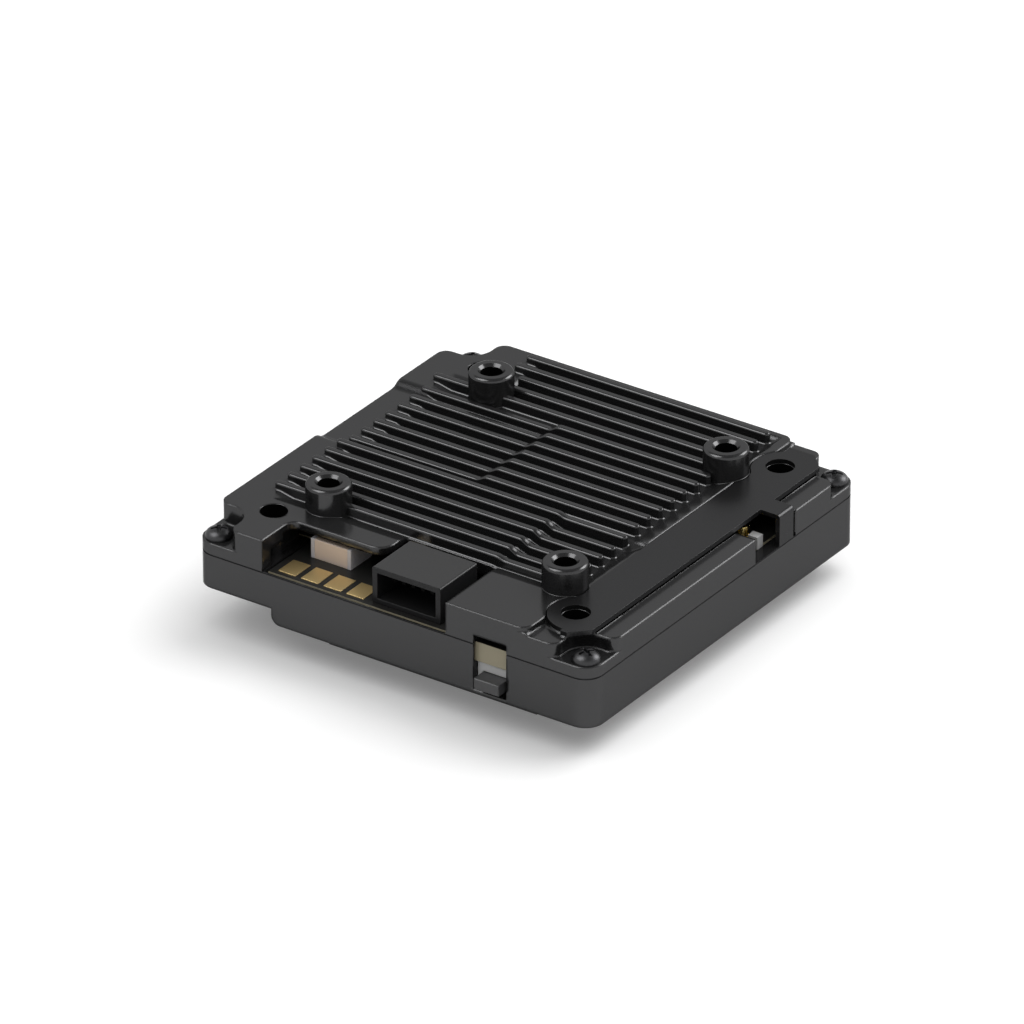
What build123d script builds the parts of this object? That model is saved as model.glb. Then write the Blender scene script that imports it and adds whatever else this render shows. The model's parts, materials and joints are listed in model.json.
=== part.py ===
from build123d import *
import os

# Finned video transmitter module, millimetres.
# +X runs along the connector side, +Y away from it, +Z up, origin at the centre of the foot's underside.

# Casing outline and heights, each counted from the piece below it
BODY = 33.5
BODY_R = 1.45
FOOT_H = 2.0
PAD_H = 0.3
TRAY_H = 3.85
COVER_H = 2.5
FIN_RISE = 0.55
BOSS_RISE = 2.0
PLATE_T = 0.35
RIM_DROP = 0.5
GROOVE = 0.06
WALL = 1.1
TRAY_FLOOR_T = 0.6
DECK_SKIN_T = 0.6
VALLEY_SKIN_T = 0.8

BOTTOM_Z = FOOT_H + PAD_H
PARTING_Z = BOTTOM_Z + TRAY_H
DECK_Z = PARTING_Z + COVER_H
FIN_TOP_Z = DECK_Z + FIN_RISE
BOSS_TOP_Z = DECK_Z + BOSS_RISE
SEAT_Z = DECK_Z - PLATE_T
RIM_Z = DECK_Z - RIM_DROP
CEILING_Z = SEAT_Z - VALLEY_SKIN_T
FRONT_CEILING_Z = DECK_Z - DECK_SKIN_T
HALF = BODY / 2
EDGE_R = 0.22
OVER = 1.0

# Holes that a stranger bolts to: 20.0 mm and 25.5 mm patterns, each set in from the outline
BOSS_INSET = 6.75
BOSS_R = 1.65
BOSS_EDGE_R = 0.3
TAP_R = 0.8
TAP_DEPTH = 2.4
TAP_CHAMFER = 0.2
FRAME_INSET = 4.0
FRAME_HOLE_R = 1.0
COLUMN_R = 1.75
BOSS_XY = HALF - BOSS_INSET
FRAME_XY = HALF - FRAME_INSET

# Corner screws and their pockets
SCREW_INSET = 1.25
SCREW_HEAD_R = 1.0
SCREW_HEAD_H = 0.72
SCREW_SHANK_R = 0.6
SCREW_LENGTH = 3.2
SCREW_FIT = 0.03
POCKET_R = 1.75
POCKET_FLOOR_T = 0.9
POCKET_FLARE_R = 0.8
SOCKET_W = 0.26
SOCKET_L = 1.1
SOCKET_DEPTH = 0.35
POCKET_Z = PARTING_Z + POCKET_FLOOR_T
SCREW_XY = HALF - SCREW_INSET

# Cooling fins, which run along X and are counted from the front
FIN_COUNT = 18
FIN_T = 0.6
FIN_EDGE_R = 0.17
FIRST_FIN_Y = -HALF + 6.95
LAST_FIN_Y = HALF - 1.22
FIN_PITCH = (LAST_FIN_Y - FIRST_FIN_Y) / (FIN_COUNT - 1)
FIN_LEFT_X = -HALF + 2.1
FIN_RIGHT_X = BOSS_XY
BACK_FIN_X = -HALF + 6.05
SHORT_FIN_X = -HALF + 7.35
FIN_ROOT = 0.15
VALLEY_DEPTH = 0.25
VALLEY_SLOPE = 1.15
VALLEY_FRONT_Y = FIRST_FIN_Y - 0.35
VALLEY_BACK_Y = HALF - 0.85

# Two lowered fields of the deck, whose soft borders the fins follow
FIELD_DROP = 0.4
FIELD_RAMP = 1.1
FIELD_FIRST, FIELD_LAST = 6, 12
FIELD_FRONT_Y = FIRST_FIN_Y + (FIELD_FIRST - 0.5) * FIN_PITCH
FIELD_BACK_Y = FIRST_FIN_Y + (FIELD_LAST - 0.15) * FIN_PITCH
FIELD_RIGHT_X = -HALF + 13.55
SIDE_FIRST, SIDE_LAST = 1, 4
SIDE_LEFT_X = HALF - 12.15
SIDE_FRONT_Y = FIRST_FIN_Y + (SIDE_FIRST - 1) * FIN_PITCH
SIDE_BACK_Y = FIRST_FIN_Y + (SIDE_LAST + 1) * FIN_PITCH
SOFT_FINS = (0, 5)
SOFT_DROP = 0.2
FIN_RAMP_L = 1.1

# Opening over the solder pads and notch for the port connector
PORT_X = -HALF + 17.45
PAD_OPEN_LEFT_X = -HALF + 5.78
PAD_OPEN_BACK_Y = -HALF + 3.65
PAD_OPEN_R = 0.8
NOTCH_LEFT_X = PORT_X - 3.8
NOTCH_RIGHT_X = PORT_X + 3.9
NOTCH_BACK_Y = -HALF + 6.45
NOTCH_R = 1.2

# Retaining plate over the coax sockets
PLATE_LEFT_X = HALF - 5.3
PLATE_RIGHT_X = HALF - 1.65
PLATE_END_Y = HALF - 1.3
PLATE_EYE_X = HALF - 3.45
PLATE_EYE_Y = HALF - 4.1
PLATE_EYE_R = 2.5
PLATE_CUT = 1.25
PLATE_BACK_X = PLATE_LEFT_X + 0.35
PLATE_GAP = 0.1
BOSS_GAP = 0.12
BED_FILLET_R = 0.9
DECK_CORNER_R = 0.85
PLATE_HOLE_R = 1.05

# Channel for the coax leads and its side gate, which the plate's ear closes in part
CHANNEL_LEFT_X = HALF - 4.75
CHANNEL_RIGHT_X = PLATE_RIGHT_X - 0.1
CHANNEL_END_Y = HALF - 6.15
GATE_BACK_Y = HALF - 8.05
GATE_FRONT_Y = GATE_BACK_Y - 5.08
EAR_BACK_Y = GATE_BACK_Y - 0.25
EAR_FRONT_Y = EAR_BACK_Y - 1.75
EAR_RIGHT_X = HALF - 0.03
EAR_FOOT_Z = PARTING_Z

# Tray underside
SHALLOW_X = -HALF + 6.55
SHALLOW_H = 1.2
SHALLOW_R = 0.7
PAD_LEFT_X = -HALF + 11.25
PAD_RIGHT_X = HALF - 4.75
PAD_SETBACK = 0.35
FOOT_CENTRE_X = 1.75
FOOT_LENGTH = BODY - 12.0
FOOT_WIDTH = BODY - 8.5
FOOT_R = 2.0
FOOT_EDGE_R = 0.5
FOOT_WALL = 1.3
FOOT_FLOOR_T = 1.0

# Main board
BOARD_T = 1.5
BOARD_GAP = 0.2
BOARD_LIP = 0.4
BOARD_LEFT_TONGUE_X = PAD_OPEN_LEFT_X + 0.1
BOARD_RIGHT_TONGUE_X = HALF - 6.65
CORNER_INNER = HALF - 5.85
BOARD_LEDGE = 0.7
BOARD_Z = PARTING_Z - BOARD_T
BOARD_FRONT_Y = -HALF + BOARD_LIP

# Window for the link button
WINDOW_LEFT_X = HALF - 9.85
WINDOW_RIGHT_X = HALF - 7.07
WINDOW_BOTTOM = 0.25
WINDOW_ABOVE = 0.7
WINDOW_BOTTOM_Z = BOTTOM_Z + WINDOW_BOTTOM
WINDOW_TOP_Z = PARTING_Z + WINDOW_ABOVE

# Link button
SWITCH_LENGTH = 2.7
SWITCH_DEPTH = 2.2
SWITCH_H = 1.7
SWITCH_FACE_Y = -HALF + 0.55
BUTTON_W = 2.05
BUTTON_H = 0.85
BUTTON_PROUD = 0.65
BUTTON_TRAVEL = 0.25
BUTTON_CLEAR = 0.05
BUTTON_STEM = 0.9
BUTTON_RISE = 0.08
SWITCH_X = (WINDOW_LEFT_X + WINDOW_RIGHT_X) / 2
BUTTON_X = SWITCH_X + 0.15
SWITCH_Z = BOARD_Z - SWITCH_H
DOME_T = 0.12

# Port connector
PORT_LENGTH = 5.75
PORT_DEPTH = 4.45
PORT_H = 2.85
PORT_WALL = 0.42
PORT_CAVITY = 3.1
PORT_FACE_Y = -HALF + 0.88
CONTACT_COUNT = 6
CONTACT_PITCH = 0.8
CONTACT_W = 0.3
CONTACT_L = 2.4
CONTACT_TAIL = 0.7
TAB_W = 0.75
TAB_T = 0.25
TAB_L = 0.75
TAB_Y = PORT_FACE_Y + 2.32

# Solder pads and input capacitor
PAD_COUNT = 4
PAD_PITCH = 1.93
PAD_W = 1.45
PAD_L = 1.85
PAD_T = 0.05
PAD_FIRST_X = -HALF + 7.33
PAD_FRONT_Y = -HALF + 0.83
CAP_LENGTH = 3.4
CAP_DEPTH = 2.5
CAP_H = 1.52
CAP_END = 0.3
CAP_X = -HALF + 9.05
CAP_FRONT_Y = -HALF + 3.75

# Coax sockets below the plate
SOCKET_COUNT = 2
SOCKET_BASE = 1.5
SOCKET_BASE_H = 0.35
SOCKET_RING_R = 0.55
SOCKET_RING_WALL = 0.14
SOCKET_RING_H = 0.95
SOCKET_PIN_R = 0.14
SOCKET_X = HALF - 2.75
SOCKET_FIRST_Y = GATE_BACK_Y - 2.7
SOCKET_PITCH = -3.4
CLAMP_W = 0.8
CLAMP_L = 0.7
CLAMP_H = 0.95
CLAMP_X = CHANNEL_RIGHT_X - 0.13
CLAMP_Y = GATE_BACK_Y - 3.22
CAMERA_LENGTH = 6.4
CAMERA_DEPTH = 2.3
CAMERA_H = 1.1
CAMERA_Y = -5.2

# USB receptacle, sunk into the board's back edge
USB_W = 8.94
USB_H = 3.16
USB_L = 7.3
USB_R = 1.3
USB_WALL = 0.3
USB_TONGUE_W = 6.6
USB_TONGUE_T = 0.7
USB_TONGUE_L = 4.6
USB_BASE_L = 1.6
USB_X = -HALF + 10.9
USB_RISE = 0.35
USB_GAP = 0.12
USB_Z = BOARD_Z + BOARD_T / 2 + USB_RISE

# Memory card slot
CARD_W = 11.6
CARD_L = 13.4
CARD_H = 1.25
CARD_WALL = 0.2
CARD_MOUTH_H = 0.95
CARD_MOUTH_W = 11.2
CARD_X = HALF - 11.7
CARD_CONTACTS = 8
CARD_CONTACT_PITCH = 1.1

# Chips, shields and pads inside
CPU_SIZE = 11.0
CPU_H = 0.95
CPU_X, CPU_Y = -HALF + 8.15, -4.0
RAM_W, RAM_L, RAM_H = 7.5, 5.2, 0.8
RAM_X, RAM_Y = 2.0, -4.2
COIL_SIZE, COIL_H, COIL_PITCH = 2.5, 1.2, 3.1
COIL_X, COIL_Y, COIL_COUNT = -HALF + 3.85, HALF - 11.75, 2
CRYSTAL_W, CRYSTAL_L, CRYSTAL_H = 2.0, 1.6, 0.6
CRYSTAL_X, CRYSTAL_Y = HALF - 8.45, -4.2
LED_W, LED_D, LED_H = 1.6, 0.8, 0.45
LED_Y = -HALF + 1.75
SMALL_CAP_W, SMALL_CAP_D, SMALL_CAP_H = 0.6, 1.0, 0.5
SMALL_CAP_COUNT, SMALL_CAP_PITCH = 6, 1.3
SMALL_CAP_X, SMALL_CAP_Y = -HALF + 6.75, 3.4
RADIO_LENGTH = FOOT_LENGTH - 4.5
RADIO_WIDTH = FOOT_WIDTH - 4.5
RADIO_T = 0.8
RADIO_X, RADIO_Y = FOOT_CENTRE_X, 0.0
LINK_H = 1.25
LINK_L, LINK_W = 9.0, 2.4
LINK_WALL = 0.35
LINK_BASE_T = 0.3
LINK_CLEAR = 0.05
SHIELD_H = 1.15
SHIELD_T = 0.2
SHIELD_L, SHIELD_W = 14.0, 13.0
SHIELD_Y = -2.5
RADIO_CHIP, RADIO_CHIP_H = 6.0, 0.75
AMP_SIZE, AMP_H, AMP_PITCH = 3.0, 0.8, 4.2
AMP_Y = 7.0
RADIO_Z = BOARD_Z - LINK_H - RADIO_T
SHIELD_Z = RADIO_Z - SHIELD_H


def slab(sketch, low, high):
    return extrude(Plane.XY.offset(low) * sketch, amount=high - low)


def span(x0, x1, y0, y1, low, high):
    """Block between two corners."""
    return Pos(x0, y0, low) * Box(x1 - x0, y1 - y0, high - low, align=(Align.MIN,) * 3)


def corners(reach):
    return [(sx * reach, sy * reach) for sx in (-1, 1) for sy in (-1, 1)]


def rods(reach, radius, low, high):
    return [Pos(x, y) * slab(Circle(radius), low, high) for x, y in corners(reach)]


def corner_blocks(inner, low, high):
    """Square blocks that fill the four corners outwards from the inner distance."""
    size = HALF - inner
    return Compound([Pos(sx * (inner + size / 2), sy * (inner + size / 2)) * slab(Rectangle(size, size), low, high)
                     for sx, sy in corners(1)])


def rounded(length, width, radius):
    return RectangleRounded(length, width, radius)


# Outlines shared by several pieces

def pocket_outline(sx, sy, radius):
    """Corner pocket: round towards the middle, open to both outer faces."""
    reach = HALF + OVER - SCREW_XY
    side = Pos(sx * (SCREW_XY + reach / 2), sy * (SCREW_XY + reach / 2 - radius / 2))
    front = Pos(sx * (SCREW_XY + reach / 2 - radius / 2), sy * (SCREW_XY + reach / 2))
    round_end = Pos(sx * SCREW_XY, sy * SCREW_XY) * Circle(radius)
    return round_end + side * Rectangle(reach, reach + radius) + front * Rectangle(reach + radius, reach)


def plate_outline():
    """Strip with a round eye at each end, its outer corners cut off, clear of the two bosses beside it."""
    width = PLATE_RIGHT_X - PLATE_LEFT_X
    strip = Pos(PLATE_LEFT_X + width / 2, 0) * Rectangle(width, 2 * PLATE_END_Y)
    left_of_eye = PLATE_EYE_X - PLATE_LEFT_X
    front_eye = Pos(PLATE_EYE_X, -PLATE_EYE_Y) * Circle(PLATE_EYE_R)
    back_eye = Pos(PLATE_EYE_X, PLATE_EYE_Y) * Circle(PLATE_EYE_R)
    strip -= Pos(PLATE_LEFT_X, -PLATE_END_Y) * Rectangle(2 * left_of_eye, 2 * (PLATE_END_Y - PLATE_EYE_Y))
    strip -= Pos(PLATE_LEFT_X, PLATE_END_Y) * Rectangle(2 * (PLATE_BACK_X - PLATE_LEFT_X), PLATE_EYE_R)
    strip += front_eye
    strip += back_eye
    strip -= Pos(PLATE_RIGHT_X + OVER / 2, 0) * Rectangle(OVER, BODY)
    for sy in (-1, 1):
        corner = Pos(PLATE_RIGHT_X, sy * PLATE_END_Y)
        strip -= corner * Rot(0, 0, 45) * Rectangle(PLATE_CUT * 2 ** 0.5, PLATE_CUT * 2 ** 0.5)
        strip -= Pos(BOSS_XY, sy * BOSS_XY) * Circle(BOSS_R + BOSS_GAP)
    return strip


def recess_outline():
    """Everything on the right that lies below the deck: the plate's bed and the rim around it."""
    reach = HALF + OVER
    left = PLATE_LEFT_X - PLATE_GAP
    bed = Pos((left + reach) / 2, 0) * Rectangle(reach - left, 2 * reach)
    for sy in (-1, 1):
        bed += Pos(PLATE_EYE_X, sy * PLATE_EYE_Y) * Circle(PLATE_EYE_R + PLATE_GAP)
    meet = bed.vertices().filter_by(lambda v: abs(v.X - left) < 0.01 and abs(v.Y) < HALF)
    return fillet(meet, BED_FILLET_R)


def front_opening():
    """Opening over the pads with a rounded back corner, then the deeper notch for the connector."""
    front = -HALF - OVER
    path = Polyline((PAD_OPEN_LEFT_X, front), (PAD_OPEN_LEFT_X, PAD_OPEN_BACK_Y),
                    (NOTCH_LEFT_X, PAD_OPEN_BACK_Y), (NOTCH_LEFT_X, NOTCH_BACK_Y),
                    (NOTCH_RIGHT_X, NOTCH_BACK_Y), (NOTCH_RIGHT_X, front), close=True)
    area = make_face(path)
    turns = area.vertices()
    back_left = turns.sort_by_distance((PAD_OPEN_LEFT_X, PAD_OPEN_BACK_Y))[0]
    nose = turns.sort_by_distance((NOTCH_LEFT_X, PAD_OPEN_BACK_Y))[0]
    area = fillet(back_left, PAD_OPEN_R)
    nose = area.vertices().sort_by_distance((NOTCH_LEFT_X, PAD_OPEN_BACK_Y))[0]
    return fillet(nose, NOTCH_R)


# Cooling fins

def fin_y(index):
    return FIRST_FIN_Y + index * FIN_PITCH


def straight_fin(y, x0, x1, top, root):
    block = Pos((x0 + x1) / 2, y) * slab(Rectangle(x1 - x0, FIN_T), root, top)
    return fillet(block.edges().group_by(Axis.Z)[-1], FIN_EDGE_R)


def fin_section(x, y, top, root):
    face = Pos(0, root) * Rectangle(FIN_T, top - root, align=(Align.CENTER, Align.MIN))
    face = fillet(face.vertices().group_by(Axis.Y)[-1], FIN_EDGE_R)
    return Plane(origin=(x, y, 0), x_dir=(0, 1, 0), z_dir=(1, 0, 0)) * face


def ramped_fin(y, x0, x1, ramp_x, top_left, top_right, root):
    """Fin whose top changes level in a soft step that starts at ramp_x."""
    ramp_end = ramp_x + FIN_RAMP_L
    rise = top_right - top_left
    stations = [(0, 0), (0.3, 0.15), (0.7, 0.85), (1, 1)]
    step = loft([fin_section(ramp_x + u * FIN_RAMP_L, y, top_left + v * rise, root) for u, v in stations], ruled=True)
    left = straight_fin(y, x0, ramp_x + OVER, top_left, root)
    right = straight_fin(y, ramp_end - OVER, x1, top_right, root)
    left -= span(ramp_x, ramp_x + 2 * OVER, y - FIN_T, y + FIN_T, root - OVER, FIN_TOP_Z + OVER)
    right -= span(ramp_end - 2 * OVER, ramp_end, y - FIN_T, y + FIN_T, root - OVER, FIN_TOP_Z + OVER)
    return left + step + right


def fin(index):
    """One fin, with the level changes and the ends of its own row."""
    y = fin_y(index)
    root = DECK_Z - VALLEY_DEPTH - FIELD_DROP - FIN_ROOT
    left_end = FIN_LEFT_X
    if y > BOSS_XY + FIN_T:
        left_end = SHORT_FIN_X if y < FRAME_XY + FIN_T else BACK_FIN_X
    half_ramp = FIN_RAMP_L / 2
    if FIELD_FIRST <= index <= FIELD_LAST:
        return ramped_fin(y, left_end, FIN_RIGHT_X, FIELD_RIGHT_X - half_ramp, FIN_TOP_Z - FIELD_DROP, FIN_TOP_Z, root)
    if SIDE_FIRST <= index <= SIDE_LAST:
        return ramped_fin(y, left_end, FIN_RIGHT_X, SIDE_LEFT_X - half_ramp, FIN_TOP_Z, FIN_TOP_Z - FIELD_DROP, root)
    if index in SOFT_FINS:
        return ramped_fin(y, left_end, FIN_RIGHT_X, SIDE_LEFT_X - half_ramp, FIN_TOP_Z, FIN_TOP_Z - SOFT_DROP, root)
    return straight_fin(y, left_end, FIN_RIGHT_X, FIN_TOP_Z, root)


def frame_level(x0, x1, y0, y1, grow, z):
    return Pos((x0 + x1) / 2, (y0 + y1) / 2, z) * Rectangle(x1 - x0 + 2 * grow, y1 - y0 + 2 * grow)


def valley(x0, x1, y0, y1, floor_z, top_z, slope):
    """Shallow tray for the fins to stand in, with sloping borders."""
    rise = top_z - floor_z
    border = loft([frame_level(x0, x1, y0, y1, 0, floor_z), frame_level(x0, x1, y0, y1, slope, top_z)], ruled=True)
    lid = extrude(frame_level(x0, x1, y0, y1, slope, top_z), amount=rise)
    return border + lid


def lowered_field(x0, x1, y0, y1, top_z):
    """Cutter that lowers a field, through an S-shaped slope centred on its outline."""
    course = [(-0.5, 1.0), (-0.2, 0.82), (0.2, 0.18), (0.5, 0.0)]
    slope = loft([frame_level(x0, x1, y0, y1, step * FIELD_RAMP, top_z - share * FIELD_DROP)
                  for step, share in course], ruled=True)
    return slope + extrude(frame_level(x0, x1, y0, y1, FIELD_RAMP / 2, top_z), amount=OVER)


# Upper casting

def cover_blank():
    """Plan of the cover with its pockets and openings, before anything is lowered."""
    blank = slab(rounded(BODY, BODY, BODY_R), PARTING_Z, DECK_Z)
    for sx, sy in corners(1):
        blank -= slab(pocket_outline(sx, sy, POCKET_R), POCKET_Z, DECK_Z + OVER)
    blank -= slab(front_opening(), PARTING_Z - OVER, DECK_Z + OVER)
    return blank


def flared_ends(body, low):
    """Vertical outer edges of the corner pockets, which are rounded outwards."""
    def is_end(edge):
        near, far = sorted((abs(edge.center().X), abs(edge.center().Y)))
        return far > HALF - 0.01 and abs(near - SCREW_XY + POCKET_R) < 0.01 and edge.center().Z > low
    return body.edges().filter_by(Axis.Z).filter_by(is_end)


def deck_corners(body):
    """The deck's two outer corners beside the plate's bed."""
    corner_x = PLATE_LEFT_X - PLATE_GAP
    return body.edges().filter_by(Axis.Z).filter_by(
        lambda e: abs(e.center().X - corner_x) < 0.01 and abs(e.center().Y) > HALF - 0.01 and e.center().Z > SEAT_Z)


def parting_groove(low, high):
    """Shallow groove round the outer edge where the two castings meet."""
    inner = BODY - 2 * GROOVE
    return slab(Rectangle(BODY + OVER, BODY + OVER) - rounded(inner, inner, BODY_R - GROOVE), low, high)


def cover_outside():
    body = cover_blank()
    body = fillet(flared_ends(body, PARTING_Z), POCKET_FLARE_R)
    body -= slab(recess_outline(), SEAT_Z, DECK_Z + OVER)
    body = fillet(deck_corners(body), DECK_CORNER_R)
    return body - lowered_fields(DECK_Z)


def lowered_fields(top_z):
    """Left middle field, open to the left side, and right front field, open to the plate's bed."""
    bed_x = PLATE_LEFT_X - PLATE_GAP
    left = lowered_field(-HALF - 2 * OVER, FIELD_RIGHT_X, FIELD_FRONT_Y, FIELD_BACK_Y, top_z)
    side = lowered_field(SIDE_LEFT_X, HALF, SIDE_FRONT_Y, SIDE_BACK_Y, top_z)
    return left + (side - span(bed_x, HALF + 2 * OVER, -HALF, HALF, PARTING_Z, DECK_Z + 2 * OVER))


def fin_valleys():
    """Sunken floors that the fins stand on, lower again where the deck is."""
    left = FIN_LEFT_X + VALLEY_SLOPE + 0.6
    right = FIN_RIGHT_X + 0.2
    floor_z = DECK_Z - VALLEY_DEPTH
    main = valley(left, right, VALLEY_FRONT_Y, BOSS_XY, floor_z, DECK_Z, VALLEY_SLOPE)
    back = valley(SHORT_FIN_X, right, BOSS_XY - OVER, VALLEY_BACK_Y, floor_z, DECK_Z, VALLEY_SLOPE / 3)
    low = floor_z - FIELD_DROP
    half_ramp = FIELD_RAMP / 2
    field = valley(left, FIELD_RIGHT_X - half_ramp, FIELD_FRONT_Y + half_ramp, FIELD_BACK_Y - half_ramp, low, floor_z,
                   FIELD_RAMP)
    side = valley(SIDE_LEFT_X + half_ramp, right, SIDE_FRONT_Y + half_ramp, SIDE_BACK_Y - half_ramp, low, floor_z,
                  FIELD_RAMP)
    return main + back + field + side


def boss(x, y):
    """Round boss whose top edge is softened in two short cones."""
    bend = BOSS_EDGE_R * (1 - 0.5 ** 0.5)
    outline = make_face(Polyline((0, SEAT_Z - FIN_ROOT), (BOSS_R, SEAT_Z - FIN_ROOT), (BOSS_R, BOSS_TOP_Z - BOSS_EDGE_R),
                                 (BOSS_R - bend, BOSS_TOP_Z - bend), (BOSS_R - BOSS_EDGE_R, BOSS_TOP_Z),
                                 (0, BOSS_TOP_Z), close=True))
    return Pos(x, y) * revolve(Plane.XZ * outline, Axis.Z)


def tapped_hole(x, y):
    hole = Pos(x, y) * slab(Circle(TAP_R), BOSS_TOP_Z - TAP_DEPTH, BOSS_TOP_Z + OVER)
    mouth = Pos(x, y, BOSS_TOP_Z - TAP_CHAMFER / 2) * Cone(TAP_R, TAP_R + TAP_CHAMFER, TAP_CHAMFER)
    return hole + mouth


def cover_room():
    """Space under the deck, less the posts and the pocket corners."""
    inner = BODY - 2 * WALL
    room = slab(rounded(inner, inner, BODY_R - WALL / 2), PARTING_Z - OVER, CEILING_Z)
    for post in rods(FRAME_XY, COLUMN_R, PARTING_Z - 2 * OVER, DECK_Z):
        room -= post
    return room - corner_blocks(SCREW_XY - POCKET_R - WALL / 2, PARTING_Z - 2 * OVER, DECK_Z)


def front_room():
    """Taller space behind the pads' opening."""
    return span(PAD_OPEN_LEFT_X - 0.4, NOTCH_LEFT_X, -HALF + WALL + 1.5, NOTCH_BACK_Y, PARTING_Z - OVER,
                FRONT_CEILING_Z)


def boss_pads():
    return Compound([Pos(BOSS_XY, sy * BOSS_XY) * slab(Circle(BOSS_R + BOSS_GAP), PARTING_Z, BOSS_TOP_Z)
                     for sy in (-1, 1)])


def lead_channel():
    """Slot under the plate with a gate through the side wall."""
    slot = span(CHANNEL_LEFT_X, CHANNEL_RIGHT_X, -CHANNEL_END_Y, CHANNEL_END_Y, PARTING_Z - OVER, DECK_Z + OVER)
    gate = span(CHANNEL_RIGHT_X - OVER, HALF + OVER, GATE_FRONT_Y, GATE_BACK_Y, PARTING_Z - OVER, DECK_Z + OVER)
    return slot + gate


def window_cut():
    return span(WINDOW_LEFT_X, WINDOW_RIGHT_X, -HALF - OVER, -HALF + WALL + OVER, WINDOW_BOTTOM_Z, WINDOW_TOP_Z)


def back_ports():
    """Openings for the data socket and the memory card."""
    usb = Plane(origin=(USB_X, HALF + OVER, USB_Z), x_dir=(1, 0, 0), z_dir=(0, -1, 0)) * rounded(
        USB_W + 2 * USB_GAP, USB_H + 2 * USB_GAP, USB_R + USB_GAP)
    card = span(CARD_X - CARD_MOUTH_W / 2, CARD_X + CARD_MOUTH_W / 2, HALF - WALL - OVER, HALF + OVER,
                PARTING_Z, PARTING_Z + CARD_MOUTH_H + 0.2)
    return extrude(usb, amount=WALL + 2 * OVER) + card


def upper_shell():
    body = cover_outside()
    body -= fin_valleys()
    keep_out = slab(front_opening(), PARTING_Z, BOSS_TOP_Z)
    for index in range(FIN_COUNT):
        body += fin(index) - keep_out
    for x, y in corners(BOSS_XY):
        body += boss(x, y)
    body -= cover_room() + front_room()
    body -= lead_channel()
    body -= slab(recess_outline() - plate_outline(), RIM_Z, DECK_Z) - boss_pads()
    body -= window_cut() + back_ports()
    body -= parting_groove(PARTING_Z - OVER, PARTING_Z + GROOVE)
    for x, y in corners(BOSS_XY):
        body -= tapped_hole(x, y)
    for hole in rods(FRAME_XY, FRAME_HOLE_R, PARTING_Z - OVER, DECK_Z + OVER):
        body -= hole
    for hole in rods(SCREW_XY, SCREW_SHANK_R + 2 * SCREW_FIT, PARTING_Z - OVER, POCKET_Z + OVER):
        body -= hole
    return body


# Retaining plate and its screws

def retaining_plate():
    body = slab(plate_outline(), SEAT_Z, DECK_Z)
    body += span(PLATE_RIGHT_X - OVER, EAR_RIGHT_X, EAR_FRONT_Y, EAR_BACK_Y, SEAT_Z, DECK_Z)
    body += span(EAR_RIGHT_X - PLATE_T, EAR_RIGHT_X, EAR_FRONT_Y, EAR_BACK_Y, EAR_FOOT_Z, DECK_Z)
    outer = body.edges().filter_by(Axis.Y).filter_by(
        lambda e: e.center().X > EAR_RIGHT_X - 0.01 and e.center().Z > DECK_Z - 0.01)
    body = fillet(outer, PLATE_T * 0.8)
    for sy in (-1, 1):
        body -= Pos(FRAME_XY, sy * FRAME_XY) * slab(Circle(PLATE_HOLE_R), SEAT_Z - OVER, DECK_Z + OVER)
    return body


def shell_screw(x, y):
    """Domed screw with a cross recess, standing on the pocket floor."""
    rise = SCREW_HEAD_H
    outline = make_face(Polyline((0, 0), (SCREW_HEAD_R, 0), (SCREW_HEAD_R, rise / 2), (SCREW_HEAD_R * 0.7, rise),
                                 (0, rise), close=True))
    head = Pos(x, y, POCKET_Z) * revolve(Plane.XZ * outline, Axis.Z)
    shank = Pos(x, y) * slab(Circle(SCREW_SHANK_R), POCKET_Z - SCREW_LENGTH, POCKET_Z + rise / 2)
    body = head + shank
    cross = Rectangle(SOCKET_L, SOCKET_W) + Rectangle(SOCKET_W, SOCKET_L)
    return body - Pos(x, y) * slab(cross, POCKET_Z + rise - SOCKET_DEPTH, POCKET_Z + rise + OVER)


def shell_screws():
    return Compound([shell_screw(x, y) for x, y in corners(SCREW_XY)])


# Lower casting

def tray_outside():
    body = slab(rounded(BODY, BODY, BODY_R), BOTTOM_Z, PARTING_Z)
    step = BOTTOM_Z + SHALLOW_H
    profile = make_face(Polyline((-HALF - OVER, BOTTOM_Z - OVER), (SHALLOW_X, BOTTOM_Z - OVER), (SHALLOW_X, step),
                                 (-HALF - OVER, step), close=True))
    body -= extrude(Plane(origin=(0, HALF + OVER, 0), x_dir=(1, 0, 0), z_dir=(0, -1, 0)) * profile,
                    amount=BODY + 2 * OVER)
    edge = body.edges().filter_by(Axis.Y).sort_by_distance((SHALLOW_X, 0, BOTTOM_Z))[0]
    body = fillet(edge, SHALLOW_R)
    pad = span(PAD_LEFT_X, PAD_RIGHT_X, -HALF + PAD_SETBACK, HALF - PAD_SETBACK, FOOT_H, BOTTOM_Z + TRAY_FLOOR_T)
    foot = Pos(FOOT_CENTRE_X, 0) * slab(rounded(FOOT_LENGTH, FOOT_WIDTH, FOOT_R), 0, BOTTOM_Z + TRAY_FLOOR_T)
    foot = chamfer(foot.edges().group_by(Axis.Z)[0], FOOT_EDGE_R)
    return body + pad + foot


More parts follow.
